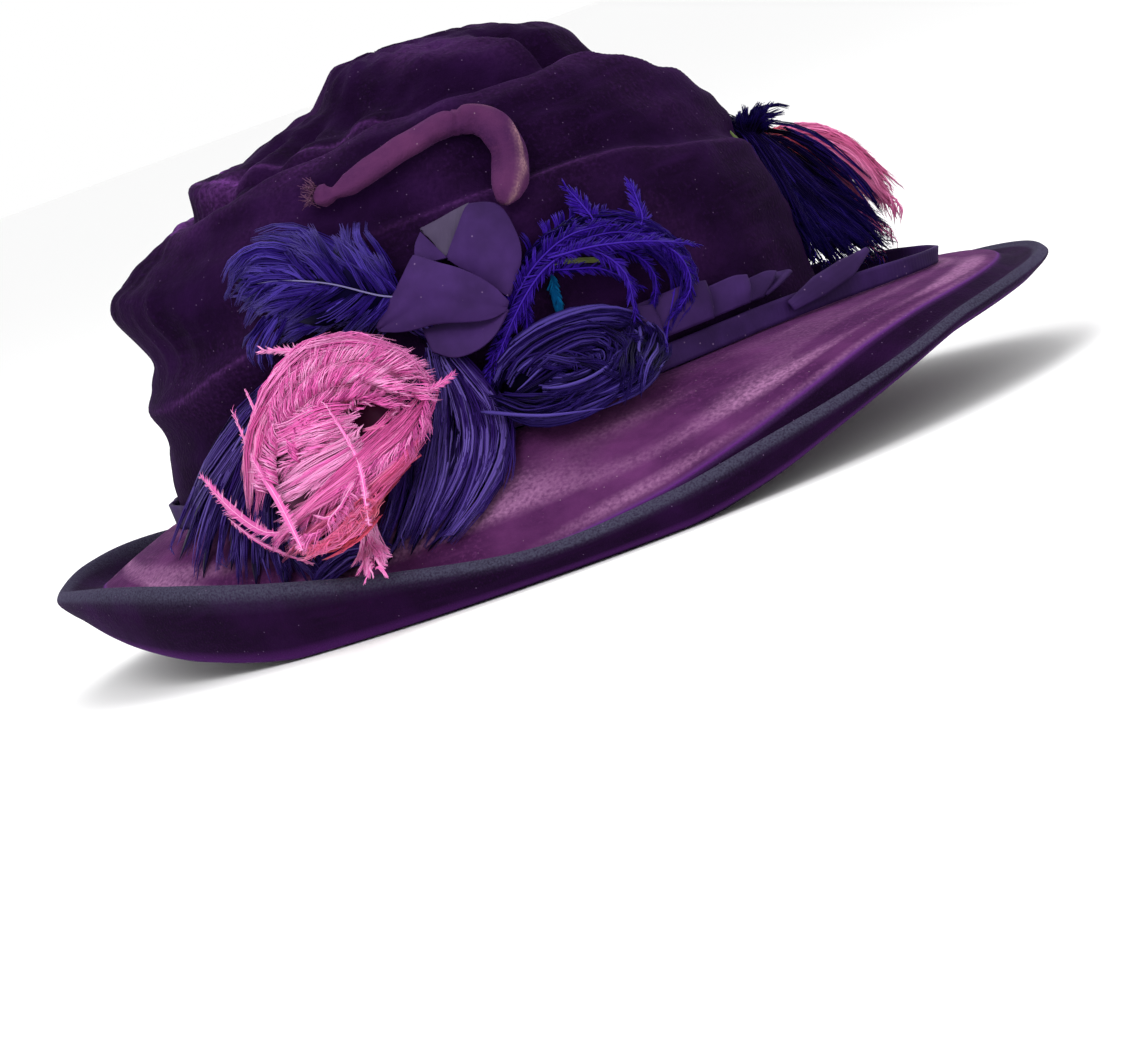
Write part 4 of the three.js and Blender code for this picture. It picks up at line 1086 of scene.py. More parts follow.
class Plume:
    """Gathers the flues of one plume as whole arrays, and makes them one mesh. Flues keep together in
    locks."""

    def __init__(self, seed):
        self.rng = np.random.default_rng(seed)
        self.points, self.faces, self.values, self.base = [], [], [], 0

    def add(self, paths, half_width, half_depth, facing, shade, tint, sides=3):
        points, faces = strands(paths, half_width, half_depth, facing, sides)
        count, steps = paths.shape[:2]
        reach = np.tile(np.repeat(np.linspace(0, 1, steps), sides), count)
        self.points.append(points)
        self.faces += [f + self.base for f in faces]
        tints = np.full(len(points), float(tint))
        self.values.append(np.stack([np.repeat(shade, steps * sides), reach, tints]))
        self.base += len(points)

    def make(self, node, material):
        shade, reach, tint = np.concatenate(self.values, 1)
        return make_piece(
            node, np.concatenate(self.points), self.faces, [material],
            {"shade": shade, "reach": reach, "tint": tint}
        )

    def locks(self, count, each):
        """The flues' number and the lock that each belongs to."""
        count = max(4, int(count * sizes().fullness))
        return count, self.rng.integers(0, max(2, count // each), count)

    def shared(self, lock, low, high, own=0.2):
        """One value for each flue, drawn for its lock and moved a little of its own."""
        drawn = self.rng.uniform(low, high, lock.max() + 1)[lock]
        return (drawn + (high - low) * own * self.rng.uniform(-0.5, 0.5, len(lock)))[:, None]

    def wander(self, lock, u, least, most):
        """A slow wave along each flue, with its own count of waves between least and most and its own
        start."""
        return np.sin(2 * math.pi * (self.shared(lock, least, most) * u + self.shared(lock, 0, 1, 0.1)))

    def frame_on(self, line, facing, t):
        """Place, direction, way across and way out of a line at t."""
        place = smooth_line(line, t)
        ahead, behind = (smooth_line(line, np.clip(t + step, 0, 1)) for step in (0.02, -0.02))
        tangent = unit(ahead - behind)
        flat = square_to(tangent, facings(facing, t))
        return place, tangent, np.cross(tangent, flat), flat

    def flow(self, line, facing, widths, depths, count, start=(0, 0.3), end=(0.65, 1.0), wave=0.5,
             splay=0.35, steps=6, shade=(0.2, 0.9), tint=0.0, size=1.0, each=9):
        """Flues that flow along a line: each follows it between its own start and end, off to one side by
        its own share of the width and depth, and wanders by slow waves that grow towards its tip."""
        count, lock = self.locks(count, each)
        u = np.linspace(0, 1, steps)[None, :]
        s0, s1 = self.shared(lock, *start), self.shared(lock, *end)
        t = s0 + (s1 - s0) * u
        centre, tangent, across, flat = self.frame_on(line, facing, t)
        turn = self.shared(lock, 0, 2 * math.pi, 0.06)
        far = np.sqrt(self.shared(lock, 0.0, 1, 0.1).clip(0, 1))
        a = far * np.cos(turn) * (1 + splay * u**2)
        b = far * np.sin(turn)
        b = np.where(self.shared(lock, 0, 1, 0) < 0.75, np.abs(b), b)
        own = self.rng.normal(0, 0.35, (count, 2, 1)) * (1 - 0.5 * u[None])
        waves = [wave * u * self.wander(lock, u, 0.5, 1.2) for _ in range(2)]
        paths = (
            centre
            + across * (a * read_list(widths, t) / 2 + waves[0] + own[:, 0])[..., None]
            + flat * (b * read_list(depths, t) / 2 + 0.6 * waves[1] + 0.6 * own[:, 1])[..., None]
        )
        self.flue(paths, flat, lock, shade, tint, size)

    def fringe(self, line, facing, lengths, count, opening=(65, 20), spread=(0.02, 1.0), curl=25, wave=0.5,
               lift=1.5, droop=1.5, sides=(1, -1), steps=6, shade=(0.2, 0.9), tint=0.0, size=1.0, each=7):
        """Flues that leave a quill on its sides like the teeth of a comb: each sets off at the opening
        angle, which closes towards the plume's tip, bends on by its curl, and rises and droops along its
        length."""
        count, lock = self.locks(count, each)
        u = np.linspace(0, 1, steps)[None, :]
        t = self.shared(lock, *spread, 0.03)[:, 0].clip(0, 1)
        pick = (self.shared(lock, 0, 1, 0)[:, 0] * len(sides)).astype(int)
        side = np.array(sides)[pick.clip(0, len(sides) - 1)]
        root, tangent, across, flat = self.frame_on(line, facing, t)
        length = read_list(lengths, t)[:, None] * self.shared(lock, 0.75, 1.08, 0.5)
        start = np.radians(read_list(opening, t)[:, None] + self.shared(lock, -9, 9, 0.25))
        bend = np.radians(curl + self.shared(lock, -14, 14, 0.2))
        heading = start - bend * (u - 0.3)
        wander = wave * u * self.wander(lock, u, 0.6, 1.3)
        step = length / (steps - 1)
        none = np.zeros((count, 1))
        ahead = np.concatenate([none, np.cumsum(np.cos(heading[:, 1:]) * step, 1)], 1)
        aside = np.concatenate([none, np.cumsum(np.sin(heading[:, 1:]) * step, 1)], 1)
        rise = lift * self.shared(lock, 0.0, 1.2) * np.sin(math.pi * np.clip(u * 1.1, 0, 1)) - droop * u**2
        paths = (
            root[:, None]
            + tangent[:, None] * ahead[..., None]
            + across[:, None] * (side[:, None] * aside + wander)[..., None]
            + flat[:, None] * rise[..., None]
        )
        self.flue(paths, np.broadcast_to(flat[:, None], paths.shape), lock, shade, tint, size)

    def flue(self, paths, facing, lock, shade, tint, size):
        """One flue's section: widest a third of the way along, fine at its end. Locks share most of their
        shade."""
        count, steps = paths.shape[:2]
        taper = np.interp(np.linspace(0, 1, steps), [0, 0.3, 0.75, 1], [0.6, 1, 0.8, 0.2])
        half = sizes().flue_width / MM / 2 * size * self.rng.uniform(0.6, 1.35, (count, 1)) * taper
        low, high = shade
        tone = (self.shared(lock, low, high, 0.5)[:, 0]).clip(0, 1)
        self.add(paths, half, half * 0.6, facing, tone, tint)

    def leaf(self, spots, width, count, shade=(0.3, 0.8), tint=0.0, opening=(40, 16), curl=6, quill=0.3,
             lift=0.0, size=0.8, vane=0.6):
        """A small flat feather: a thin vane along a fine quill, and short barbs close together on both
        its sides."""
        line, facing = plume_on_velvet(spots)
        line = line + facing * lift
        self.core(line - facing * 0.25, facing, [0.4 * vane * width, vane * width, vane * width, 0.3],
                  [0.5, 0.6, 0.4], steps=12, sides=6, shade=shade[0] * 0.7, tint=tint)
        self.fringe(line, facing, [width * 0.45, width * 0.75, width * 0.7, width * 0.5], count,
                    opening=opening, curl=curl, wave=0.12, lift=0.25, droop=0.3, spread=(0.0, 1.0), steps=4,
                    shade=shade, tint=tint, size=size, each=1)
        self.stem(line + facing * 0.25, facing, quill, shade[1], tint, steps=14)

    def stem(self, line, facing, half, shade, tint=0.0, steps=24):
        """A single round strand along a line, fine at its end."""
        t = np.linspace(0, 1, steps)
        thick = half * np.interp(t, [0, 0.1, 0.7, 1], [0.7, 1, 0.75, 0.2])
        out = facings(facing, t)[None]
        shade = np.array([float(shade)])
        self.add(smooth_line(line, t)[None], thick[None], thick[None], out, shade, tint, 6)

    def core(self, line, facing, widths, depths, steps=14, sides=10, shade=-0.8, tint=0.0):
        """The heart of the plume, under its flues; at a shade below zero it is painted dark, a painted
        shade between the flues.
        """
        t = np.linspace(0, 1, steps)
        out = facings(facing, t)[None]
        ends = np.clip(np.minimum(t, 1 - t) / 0.08, 0.05, 1) ** 0.5
        self.add(smooth_line(line, t)[None], (read_list(widths, t) / 2 * ends)[None],
                 (read_list(depths, t) / 2 * ends)[None], out, np.array([float(shade)]), tint, sides)


def plume_on_velvet(spots):
    spots = np.asarray(spots, float)
    return beside(spots), facing_beside(spots)


def cushion(x, z):
    """Lift of the rosette's rounded top off the velvet: half an ellipsoid over its middle."""
    share = np.square((x + 59) / 33) + np.square((z - 49) / 33)
    return 5 + 17 * np.sqrt(np.clip(1 - share, 0, 1))


def over_cushion(places, more=0.0):
    """Spots that lie on the rosette's rounded top."""
    places = np.asarray(places, float)
    return np.column_stack([places, cushion(places[:, 0], places[:, 1]) + more])


def oval(eye, radii, start, sweep, lift, shrink=0.1):
    """Spots along part of an oval round an eye, closing in a little as they go."""
    share = np.linspace(0, 1, 7)
    turn = np.radians(start + sweep * share)
    size = 1 - shrink * share
    lifts = np.broadcast_to(lift, (7,)) if np.ndim(lift) == 0 else np.linspace(*lift, 7)
    return np.column_stack([
        eye[0] + radii[0] * size * np.cos(turn), eye[1] + radii[1] * size * np.sin(turn), lifts,
    ])


class CLOCHE_OT_violet_plume(bpy.types.Operator):
    """Make the flat violet plume behind the bow"""

    bl_idname = "cloche.violet_plume"
    bl_label = "Violet plume"

    def execute(self, context):
        plume = Plume(21)
        line, facing = plume_on_velvet([(-27, 85, 6), (-34, 88, 6.5), (-46, 95, 6.5), (-58, 100, 6),
                                        (-66, 102, 5)])
        # Under the flues lies a core painted near black: painted shade.
        plume.core(line - facing, facing, [4, 16, 26, 24, 12], [2, 3.5, 4, 3, 2])
        for depth, count, size in ((-1.2, 700, 1.2), (0.2, 800, 1.0), (1.2, 500, 0.8)):
            plume.fringe(
                line + facing * depth, facing, [13, 19, 20, 17, 13], count, opening=(62, 46, 32, 14),
                curl=20, lift=1.6, droop=1.6, wave=1.0, size=size, shade=(0.05, 0.95),
            )
        # The end curls round on itself in fine arcs.
        for places in (
            [(-50, 103), (-62, 110), (-71, 108), (-76, 101)],
            [(-48, 97), (-60, 103), (-69, 104), (-76, 98)], [(-46, 94), (-58, 96), (-68, 97), (-75, 92)],
            [(-42, 90), (-52, 89), (-62, 89), (-71, 86)], [(-38, 97), (-46, 106), (-55, 112), (-64, 114)],
            [(-30, 91), (-33, 99), (-35, 105), (-33, 110)], [(-62, 92), (-69, 87), (-72.5, 82), (-73, 77)],
        ):
            spots = np.column_stack([places, [6.5, 7, 6, 4]])
            strip, out = plume_on_velvet(spots)
            plume.flow(strip, out, [7, 9, 9, 6], [3, 3, 3, 2], 120, wave=0.8, shade=(0.2, 1.0), size=0.9)
        plume.stem(line + facing * 1.6, facing, 0.3, 0.75, tint=0.25)
        plume.make("violet_plume", dyed_ostrich(
            "dyed ostrich, violet", "#0D0630", colours().violet, "#44348E", "#5A4C9C",
        ))
        return {"FINISHED"}


class CLOCHE_OT_arch_plume(bpy.types.Operator):
    """Make the curled plume with its bare quill and the teal tip under it"""

    bl_idname = "cloche.arch_plume"
    bl_label = "Curled plume"

    def execute(self, context):
        plume = Plume(34)
        arch = [(-4, 66, 5), (2, 75.5, 5.5), (11, 82, 6), (24, 85.5, 6), (36, 82.5, 6), (45, 76, 6),
                (50, 67, 6), (49.5, 59, 6), (43.6, 53, 6), (37, 47, 5)]
        line, facing = plume_on_velvet(arch)
        plume.core(line - facing, facing, [1, 4, 6, 6, 6, 5, 3, 1], [1, 3, 3, 3, 3, 2, 1], steps=30,
                   shade=0.15)
        # The flues under the leaves run down to a painted shade, darker than the dye.
        plume.flow(line, facing, [2, 7, 10, 11, 11, 8, 5, 1], [3, 4, 5, 5, 4, 3], 420, start=(0, 0.7),
                   end=(0.3, 1.0), wave=0.9, splay=0.3, shade=(-0.3, 0.6))
        for spots, width, lift, shade in (
            ([(-8, 60, 6), (-2, 69, 6), (5, 77, 6.5), (14, 82, 7)], 6, 1.5, (0.1, 0.7)),
            ([(2, 74, 6), (11, 81, 7), (22, 85, 7), (34, 84, 6.5)], 6, 2.5, (0.2, 0.9)),
            ([(14, 80, 7), (26, 82.5, 7.5), (38, 80, 7), (48, 72, 6.5)], 6, 2, (0.1, 0.8)),
            ([(14, 81, 7), (28, 79.5, 8.5), (42, 75.5, 8), (55, 69.5, 6)], 4.6, 3.5, (0.4, 1.0)),
            ([(30, 83, 6), (42, 78, 7), (49, 69, 7), (51, 60, 6)], 5.4, 1.5, (0.1, 0.8)),
            ([(44, 76, 6), (50, 68, 8), (50, 59, 7), (43, 53, 5)], 4.6, 2.0, (0.3, 0.9)),
            ([(12, 82, 6), (25, 80, 7.5), (33, 70, 7), (32, 57, 6)], 5.4, 3, (0.3, 1.0)),
            ([(10, 79, 6.5), (20, 76, 8), (28, 73, 8), (37, 64, 6)], 4.0, 1.0, (0.0, 0.7)),
            ([(20, 81, 6), (11, 78, 8), (1, 70, 7), (-10, 58, 6)], 5.4, 3, (0.3, 1.0)),
            ([(30, 82, 6), (30.5, 87, 6), (29, 92, 5), (26.5, 98, 4)], 5.4, 1, (0.3, 1.0)),
            ([(41, 79, 6), (44, 82, 6), (44.5, 87, 5), (44.4, 92.5, 4)], 5.0, 1, (0.4, 1.0)),
            ([(26, 80, 6), (37, 75, 7), (42, 66, 7), (38, 56, 5)], 4.6, 0.5, (0.0, 0.6)),
            ([(8, 77, 6), (4, 70, 7), (2, 64, 7), (-2, 58, 6)], 4.0, 0.5, (0.0, 0.6)),
            ([(46, 60, 5), (43, 55, 5), (40, 50, 5), (36, 42, 5)], 2.2, 1, (0.3, 0.9)),
            ([(-5, 66, 5), (-9, 61, 6), (-12, 56, 6), (-14, 50, 5)], 4.0, 1, (0.2, 0.8)),
        ):
            plume.leaf(spots, width * 1.25, 190, shade=shade, lift=lift, opening=(50, 20), vane=0.5)
        edge, out = plume_on_velvet([(-4, 67, 5), (2, 77, 5), (12, 84.5, 5), (25, 88.5, 5), (36, 86, 5)])
        plume.fringe(edge, out, [5, 6.5, 6, 5], 420, opening=(55, 45), curl=-25, sides=(1, -1), lift=1,
                     droop=0.5, shade=(0.1, 0.9))
        plume.make("arch_plume", dyed_ostrich(
            "dyed ostrich, vivid violet", "#08022A", colours().arch, "#3A2090", "#402898"
        ))
        quill = bpy.data.objects["arch_quill"]
        quill.data.materials.clear()
        scraped = bare_quill("scraped quill, green", "#8A9450", "#5C6630")
        quill.data.materials.append(scraped)
        teal = Plume(35)
        line, facing = plume_on_velvet([(14.5, 77, 1.6), (13.5, 71, 2.2), (12.5, 62, 1.8)])
        teal.core(line, facing, [0.8, 3, 3, 1.2], [0.5, 0.7, 0.5], shade=0.3)
        teal.fringe(line, facing, [2.8, 3.8, 3.4, 2.4], 260, opening=(35, 15), curl=10, wave=0.05, lift=0.4,
                    droop=0.2, size=0.8)
        teal.make("teal_tip", dyed_ostrich(
            "dyed hackle, teal", "#021A3C", "#064878", "#0A6494", "#085484"
        ))
        return {"FINISHED"}


class CLOCHE_OT_coil(bpy.types.Operator):
    """Make the dark coil of strands"""

    bl_idname = "cloche.coil"
    bl_label = "Violet coil"

    def execute(self, context):
        plume = Plume(41)
        line, facing = plume_on_velvet([(-10, 50, 6), (10, 51, 7), (31, 46, 6)])
        # The core is painted near black: painted shade in the coil's middle and between its strands.
        plume.core(line, facing, [12, 22, 21, 11], [6, 9, 9, 6], steps=16, sides=14)
        eye = (11, 50)
        for radii, start, sweep, lift, count in (
            ((24, 12.5), 175, -150, (7, 8), 150), ((26, 13), 150, -160, (8, 7), 150),
            ((20, 9), 170, -140, (11, 11), 110), ((15, 6.5), 160, -150, (13, 12), 80),
            ((25, 12.5), 20, -110, (8, 7), 150), ((20, 9.5), 30, -120, (10, 10), 120),
            ((14, 6), 10, -140, (12, 12), 90), ((24, 12), 190, 120, (8, 8), 150),
            ((18, 8.5), 200, 120, (11, 10), 110), ((27, 11), -60, 80, (7, 8), 130),
            ((11, 5), 150, -200, (14, 13), 100), ((9, 4), -20, -190, (14, 13), 90),
            ((5, 2), 170, -220, (14.5, 14), 70), ((13, 5), 200, 150, (13, 13), 80),
        ):
            arc, out = plume_on_velvet(oval(eye, radii, start, sweep, lift, shrink=0.06))
            plume.flow(arc, out, [3, 7, 7, 3], [4, 5, 4, 2], count, wave=0.5, steps=7, start=(0, 0.25),
                       end=(0.7, 1.0), shade=(0.0, 0.7))
            # A few broad pale strands in each arc are painted highlights.
            plume.flow(arc, out, [2, 7, 7, 2], [6, 7, 6, 3], 10, wave=0.5, steps=12, start=(0, 0.15),
                       end=(0.85, 1.0), shade=(0.5, 1.0), size=2.6, each=1)
        for spots in (
            [(-11, 46, 10), (2, 50, 14), (16, 55, 13), (27, 57, 8)],
            [(31, 55, 9), (27, 48, 13), (24, 42, 12), (21, 37, 7)],
            [(36, 50, 8), (30, 45, 12), (27, 40, 10), (26, 36, 6)],
            [(-8, 56, 9), (4, 54, 14), (14, 48, 15), (22, 39, 10)],
            [(-14, 50, 9), (-4, 44, 12), (8, 43, 14), (20, 46, 14)],
            [(18, 62, 8), (25, 55, 12), (26, 48, 13), (20, 44, 13)],
        ):
            cross, out = plume_on_velvet(spots)
            plume.flow(cross, out, [4, 7, 7, 5], [3, 4, 4, 3], 90, wave=1.4, splay=0.6, shade=(-0.2, 0.7),
                       start=(0, 0.5), end=(0.5, 1.0))
            # A few broad pale strands on each crossing lock are painted highlights.
            plume.flow(cross, out, [4, 7, 7, 5], [5, 6, 5, 3], 5, wave=1.4, shade=(0.4, 1.0), size=2.2,
                       each=1, steps=12, start=(0, 0.3), end=(0.6, 1.0))
        stem, out = plume_on_velvet([(-18, 47, 10), (-2, 41.5, 15), (15, 37.5, 12)])
        plume.stem(stem, out, 0.6, 1.0, steps=20)
        plume.make("violet_coil", dyed_ostrich(
            "dyed ostrich, dark violet", "#08031C", "#1C0E48", "#483A84", "#2C1C68"
        ))
        return {"FINISHED"}


class CLOCHE_OT_rosette(bpy.types.Operator):
    """Make the pink plume curled into a rosette"""

    bl_idname = "cloche.rosette"
    bl_label = "Pink rosette"

    def execute(self, context):
        plume = Plume(55)
        line, facing = plume_on_velvet([(-42, 62, 9), (-59.5, 49.5, 9), (-78, 36, 8)])
        out = np.broadcast_to(unit(np.array([-0.1, -1, 0.3])), line.shape)
        # The core under the flues is painted near black: painted shade in the eye and between the flues.
        plume.core(line, out, [24, 38, 42, 22], [10, 14, 13, 7], steps=16, sides=16, shade=-0.85)
        # The plume rolls over the top, round the eye, and sweeps down to the lower left.
        for places, more, width, count, shade, tint in (
            ([(-82, 55), (-78, 64), (-70, 71.5), (-58, 76), (-45, 73.5), (-36, 67), (-32, 58)], 2, 13, 640,
             (0.2, 0.9), 0.0),
            ([(-72, 60), (-64, 67), (-54, 70), (-45, 68), (-38, 62)], 1.5, 10, 420, (0.3, 1.0), 0.1),
            ([(-37, 62), (-42, 66.5), (-50, 66.5), (-55, 62), (-52, 57.5)], 0, 6, 220, (0.0, 0.8), 0.3),
            ([(-30, 60), (-36, 54), (-47, 49), (-60, 44), (-74, 38), (-86, 34)], 1.5, 14, 620, (0.2, 0.8),
             0.1),
            ([(-34, 50), (-46, 43), (-60, 37), (-74, 33), (-84, 30)], 0, 12, 420, (0.0, 0.7), 0.35),
            ([(-38, 42), (-50, 36), (-64, 30), (-76, 26)], -1, 10, 190, (0.0, 0.8), 0.7),
            ([(-40, 44), (-52, 37.5), (-66, 31), (-79, 27)], 0, 11, 170, (0.1, 0.9), 0.3),
            ([(-52, 56), (-60, 55), (-70, 55), (-80, 53)], 2.5, 14, 420, (0.6, 1.0), 0.0),
            ([(-52, 51), (-60, 49), (-71, 47), (-82, 45)], 2.5, 13, 420, (0.6, 1.0), 0.0),
            ([(-50, 60), (-60, 61), (-70, 60), (-79, 58)], 2.0, 11, 320, (0.5, 1.0), 0.0),
            ([(-72, 71), (-80, 62), (-86, 50), (-90, 40)], 3, 9, 380, (0.2, 0.9), 0.1),
            ([(-52, 54), (-47, 53), (-40, 53), (-34, 57)], 1.0, 6, 160, (0.3, 0.9), 0.2),
        ):
            arc, face = plume_on_velvet(over_cushion(places, more))
            plume.flow(arc, face, [width * 0.6, width, width, width * 0.7], [5, 6, 5, 3], count, wave=0.9,
                       splay=0.4, shade=shade, tint=tint, size=0.76, start=(0, 0.55), end=(0.45, 1.0),
                       steps=5)
        # Short barbs stand like fur along the rolls.
        for places, more, lengths, count, sides, opening, shade in (
            ([(-84, 44), (-81, 55), (-75, 63), (-67, 70), (-57, 73), (-46, 71.5), (-38, 66), (-34, 57)], 3,
             [6, 8, 9, 9, 7], 620, (-1,), (60, 46), (0.3, 1.0)),
            ([(-80, 46), (-77, 56), (-70, 64), (-58, 68.5), (-47, 67), (-40, 61)], 4.5, [7, 9, 9, 8], 560,
             (-1,), (52, 38), (0.2, 1.0)),
            ([(-72, 50), (-69, 58), (-61, 63.5), (-50, 63), (-43, 58)], 3.5, [6, 8, 8, 6], 420, (-1,),
             (44, 30), (0.1, 0.9)),
            ([(-54, 59), (-49, 62), (-43, 61), (-39, 57), (-42, 53)], 1, [4, 5, 4], 240, (-1, 1), (50, 40),
             (0.0, 0.9)),
            ([(-31, 58), (-38, 50), (-52, 45), (-66, 40), (-82, 33)], 3, [7, 9, 9, 7], 460, (-1,), (34, 22),
             (0.1, 0.8)),
            ([(-32, 52), (-44, 45), (-57, 40), (-70, 35), (-80, 31)], 2, [7, 8, 8, 6], 360, (-1,), (36, 24),
             (0.0, 0.7)),
            ([(-56, 74.5), (-47, 75.5), (-39, 72), (-33.5, 66), (-31, 58)], 1, [3, 5, 6, 5], 420, (1, -1),
             (72, 58), (0.3, 1.0)),
            ([(-50, 56), (-58, 54), (-68, 52), (-78, 51)], 3.5, [8, 10, 10, 8], 300, (1, -1), (28, 16),
             (0.6, 1.0)),
            ([(-52, 39), (-62, 34), (-72, 31), (-80, 29)], 0, [5, 7, 6], 240, (1, -1), (44, 34),
             (0.0, 0.7)),
        ):
            edge, face = plume_on_velvet(over_cushion(places, more))
            plume.fringe(edge, face, lengths, count, opening=opening, curl=14, lift=1.8, droop=0.6, steps=4,
                         sides=sides, wave=0.7, shade=shade, size=0.64, each=3,
                         tint=0.5 if more == 0 else 0.0)
        # The loose end hangs down to the brim in a bright tuft.
        tail, face = plume_on_velvet([(-57, 42, 21), (-58.5, 36, 18), (-59, 28, 13), (-60, 20, 9)])
        plume.flow(tail, face, [4, 5, 6, 12], [4, 4, 4, 6], 240, shade=(0.4, 1.0), size=0.8, wave=0.9)
        plume.fringe(tail, face, [4, 5, 8, 8], 300, spread=(0.5, 1.0), opening=(45, 25), curl=10,
                     shade=(0.4, 1.0), size=0.7)
        for spots, width, count, shade in (
            ([(-77, 32, 25), (-81, 44, 26), (-84.5, 56, 22), (-86, 70, 14)], 5.2, 190, (0.5, 0.95)),
            ([(-78, 35, 18), (-87, 35, 15), (-95, 42, 12), (-102.5, 54, 9)], 6.4, 210, (0.4, 0.9)),
            ([(-98, 41, 9), (-92, 34, 10), (-86, 29, 10), (-78, 23.5, 9)], 2.6, 110, (0.5, 0.9)),
            ([(-52, 73, 17), (-59, 78.5, 14), (-65, 81.5, 11), (-72, 84, 9)], 5.4, 190, (0.7, 1.0)),
            ([(-38, 60, 20), (-33, 58, 17), (-28, 58.5, 15), (-21.5, 60, 13)], 4.0, 130, (0.3, 0.8)),
            ([(-57.5, 32, 18), (-55.5, 45, 27), (-56.5, 54, 28), (-59, 65, 26)], 3.4, 160, (0.6, 1.0)),
            ([(-78, 56, 21), (-78, 62, 20), (-79.5, 68, 16), (-80.5, 75, 10)], 2.6, 100, (0.5, 1.0)),
            ([(-45, 48, 24), (-58, 42, 25), (-66, 38, 23), (-74, 37, 18)], 2.0, 90, (0.5, 1.0)),
        ):
            plume.leaf(spots, width, count, shade=shade, quill=0.16, size=0.6, vane=0.45, opening=(46, 24))
        plume.make("pink_rosette", dyed_ostrich(
            "dyed ostrich, pink", "#8E2668", colours().pink, "#F2A8D8", "#F094D0",
            second="#D24A48",
        ))
        return {"FINISHED"}


def fall(plume, lines, width, depth, count, bright):
    """Locks that hang over the brim, each along its own line over a core painted dark as shade, with a few
    broad glossy strands on them whose pale colour is a painted highlight.
    """
    for spots in lines:
        lock, out = plume_on_velvet(spots)
        plume.core(lock - out * 1.5, out, [width * 0.4, width * 0.7, width * 0.6, 1], [1.5, 2.5, 2, 0.6])
        plume.flow(lock, out, [width * 0.6, width, width * 1.1, width * 0.7],
                   [depth, depth * 1.1, depth, depth * 0.6], count, start=(0, 0.35), end=(0.6, 1.03),
                   wave=0.9, splay=0.5, shade=(0.0, 0.85))
        plume.flow(lock, out, [width * 0.5, width, width * 1.1, width * 0.8], [depth] * 3, bright,
                   start=(0, 0.3), end=(0.8, 1.03), wave=0.8, splay=0.5, shade=(0.5, 1.0), size=2.2, each=1,
                   steps=12)


class CLOCHE_OT_falls(bpy.types.Operator):
    """Make the two violet plumes that fall over the brim"""

    bl_idname = "cloche.falls"
    bl_label = "Falling plumes"

    def execute(self, context):
        dye = dyed_ostrich(
            "dyed ostrich, violet fall", "#0C0426", "#2C165C", "#62509A", "#3E2C78"
        )
        right = Plume(61)
        fall(right, (
            [(-24, 73, 3), (-20, 63, 5), (-16, 52, 6), (-14.5, 43, 5), (-19, 33, 4), (-29, 24, 3),
             (-40, 18, 2)],
            [(-24, 72, 3), (-22, 60, 6), (-21, 48, 7), (-25, 36, 6), (-35, 25, 4), (-46, 17.5, 2)],
            [(-25, 70, 3), (-27, 57, 5), (-31, 45, 6), (-38, 33, 6), (-51, 18, 3)],
            [(-26, 68, 2), (-33, 54, 3), (-40, 42, 4), (-48, 29, 3), (-58, 18, 2)],
            [(-22, 70, 2), (-24, 74, 3), (-26, 78, 3), (-27, 82, 2)],
        ), 8.5, 5, 280, 15)
        right.make("violet_fall_right", dye)
        back = Plume(62)
        fall(back, (
            [(-62, 76, 3), (-78, 69, 5), (-95, 57, 5), (-108, 45, 4), (-118, 34, 2)],
            [(-64, 73, 3), (-82, 63, 5), (-97, 49, 5), (-107, 37, 4), (-112, 28, 2)],
            [(-66, 69, 3), (-84, 55, 5), (-96, 41, 5), (-103, 28, 3)],
            [(-70, 62, 3), (-86, 47, 5), (-93, 34, 5), (-97, 22, 3)],
            [(-74, 52, 3), (-84, 40, 5), (-87, 28, 5), (-88, 19, 3)],
            [(-78, 40, 3), (-79, 31, 5), (-77, 24, 5), (-76, 18, 3)],
            [(-56, 19, 4), (-64, 23, 5), (-72, 22, 5), (-80, 18, 3)],
        ), 9, 5, 225, 11)
        back.make("violet_fall_back", dye)
        return {"FINISHED"}


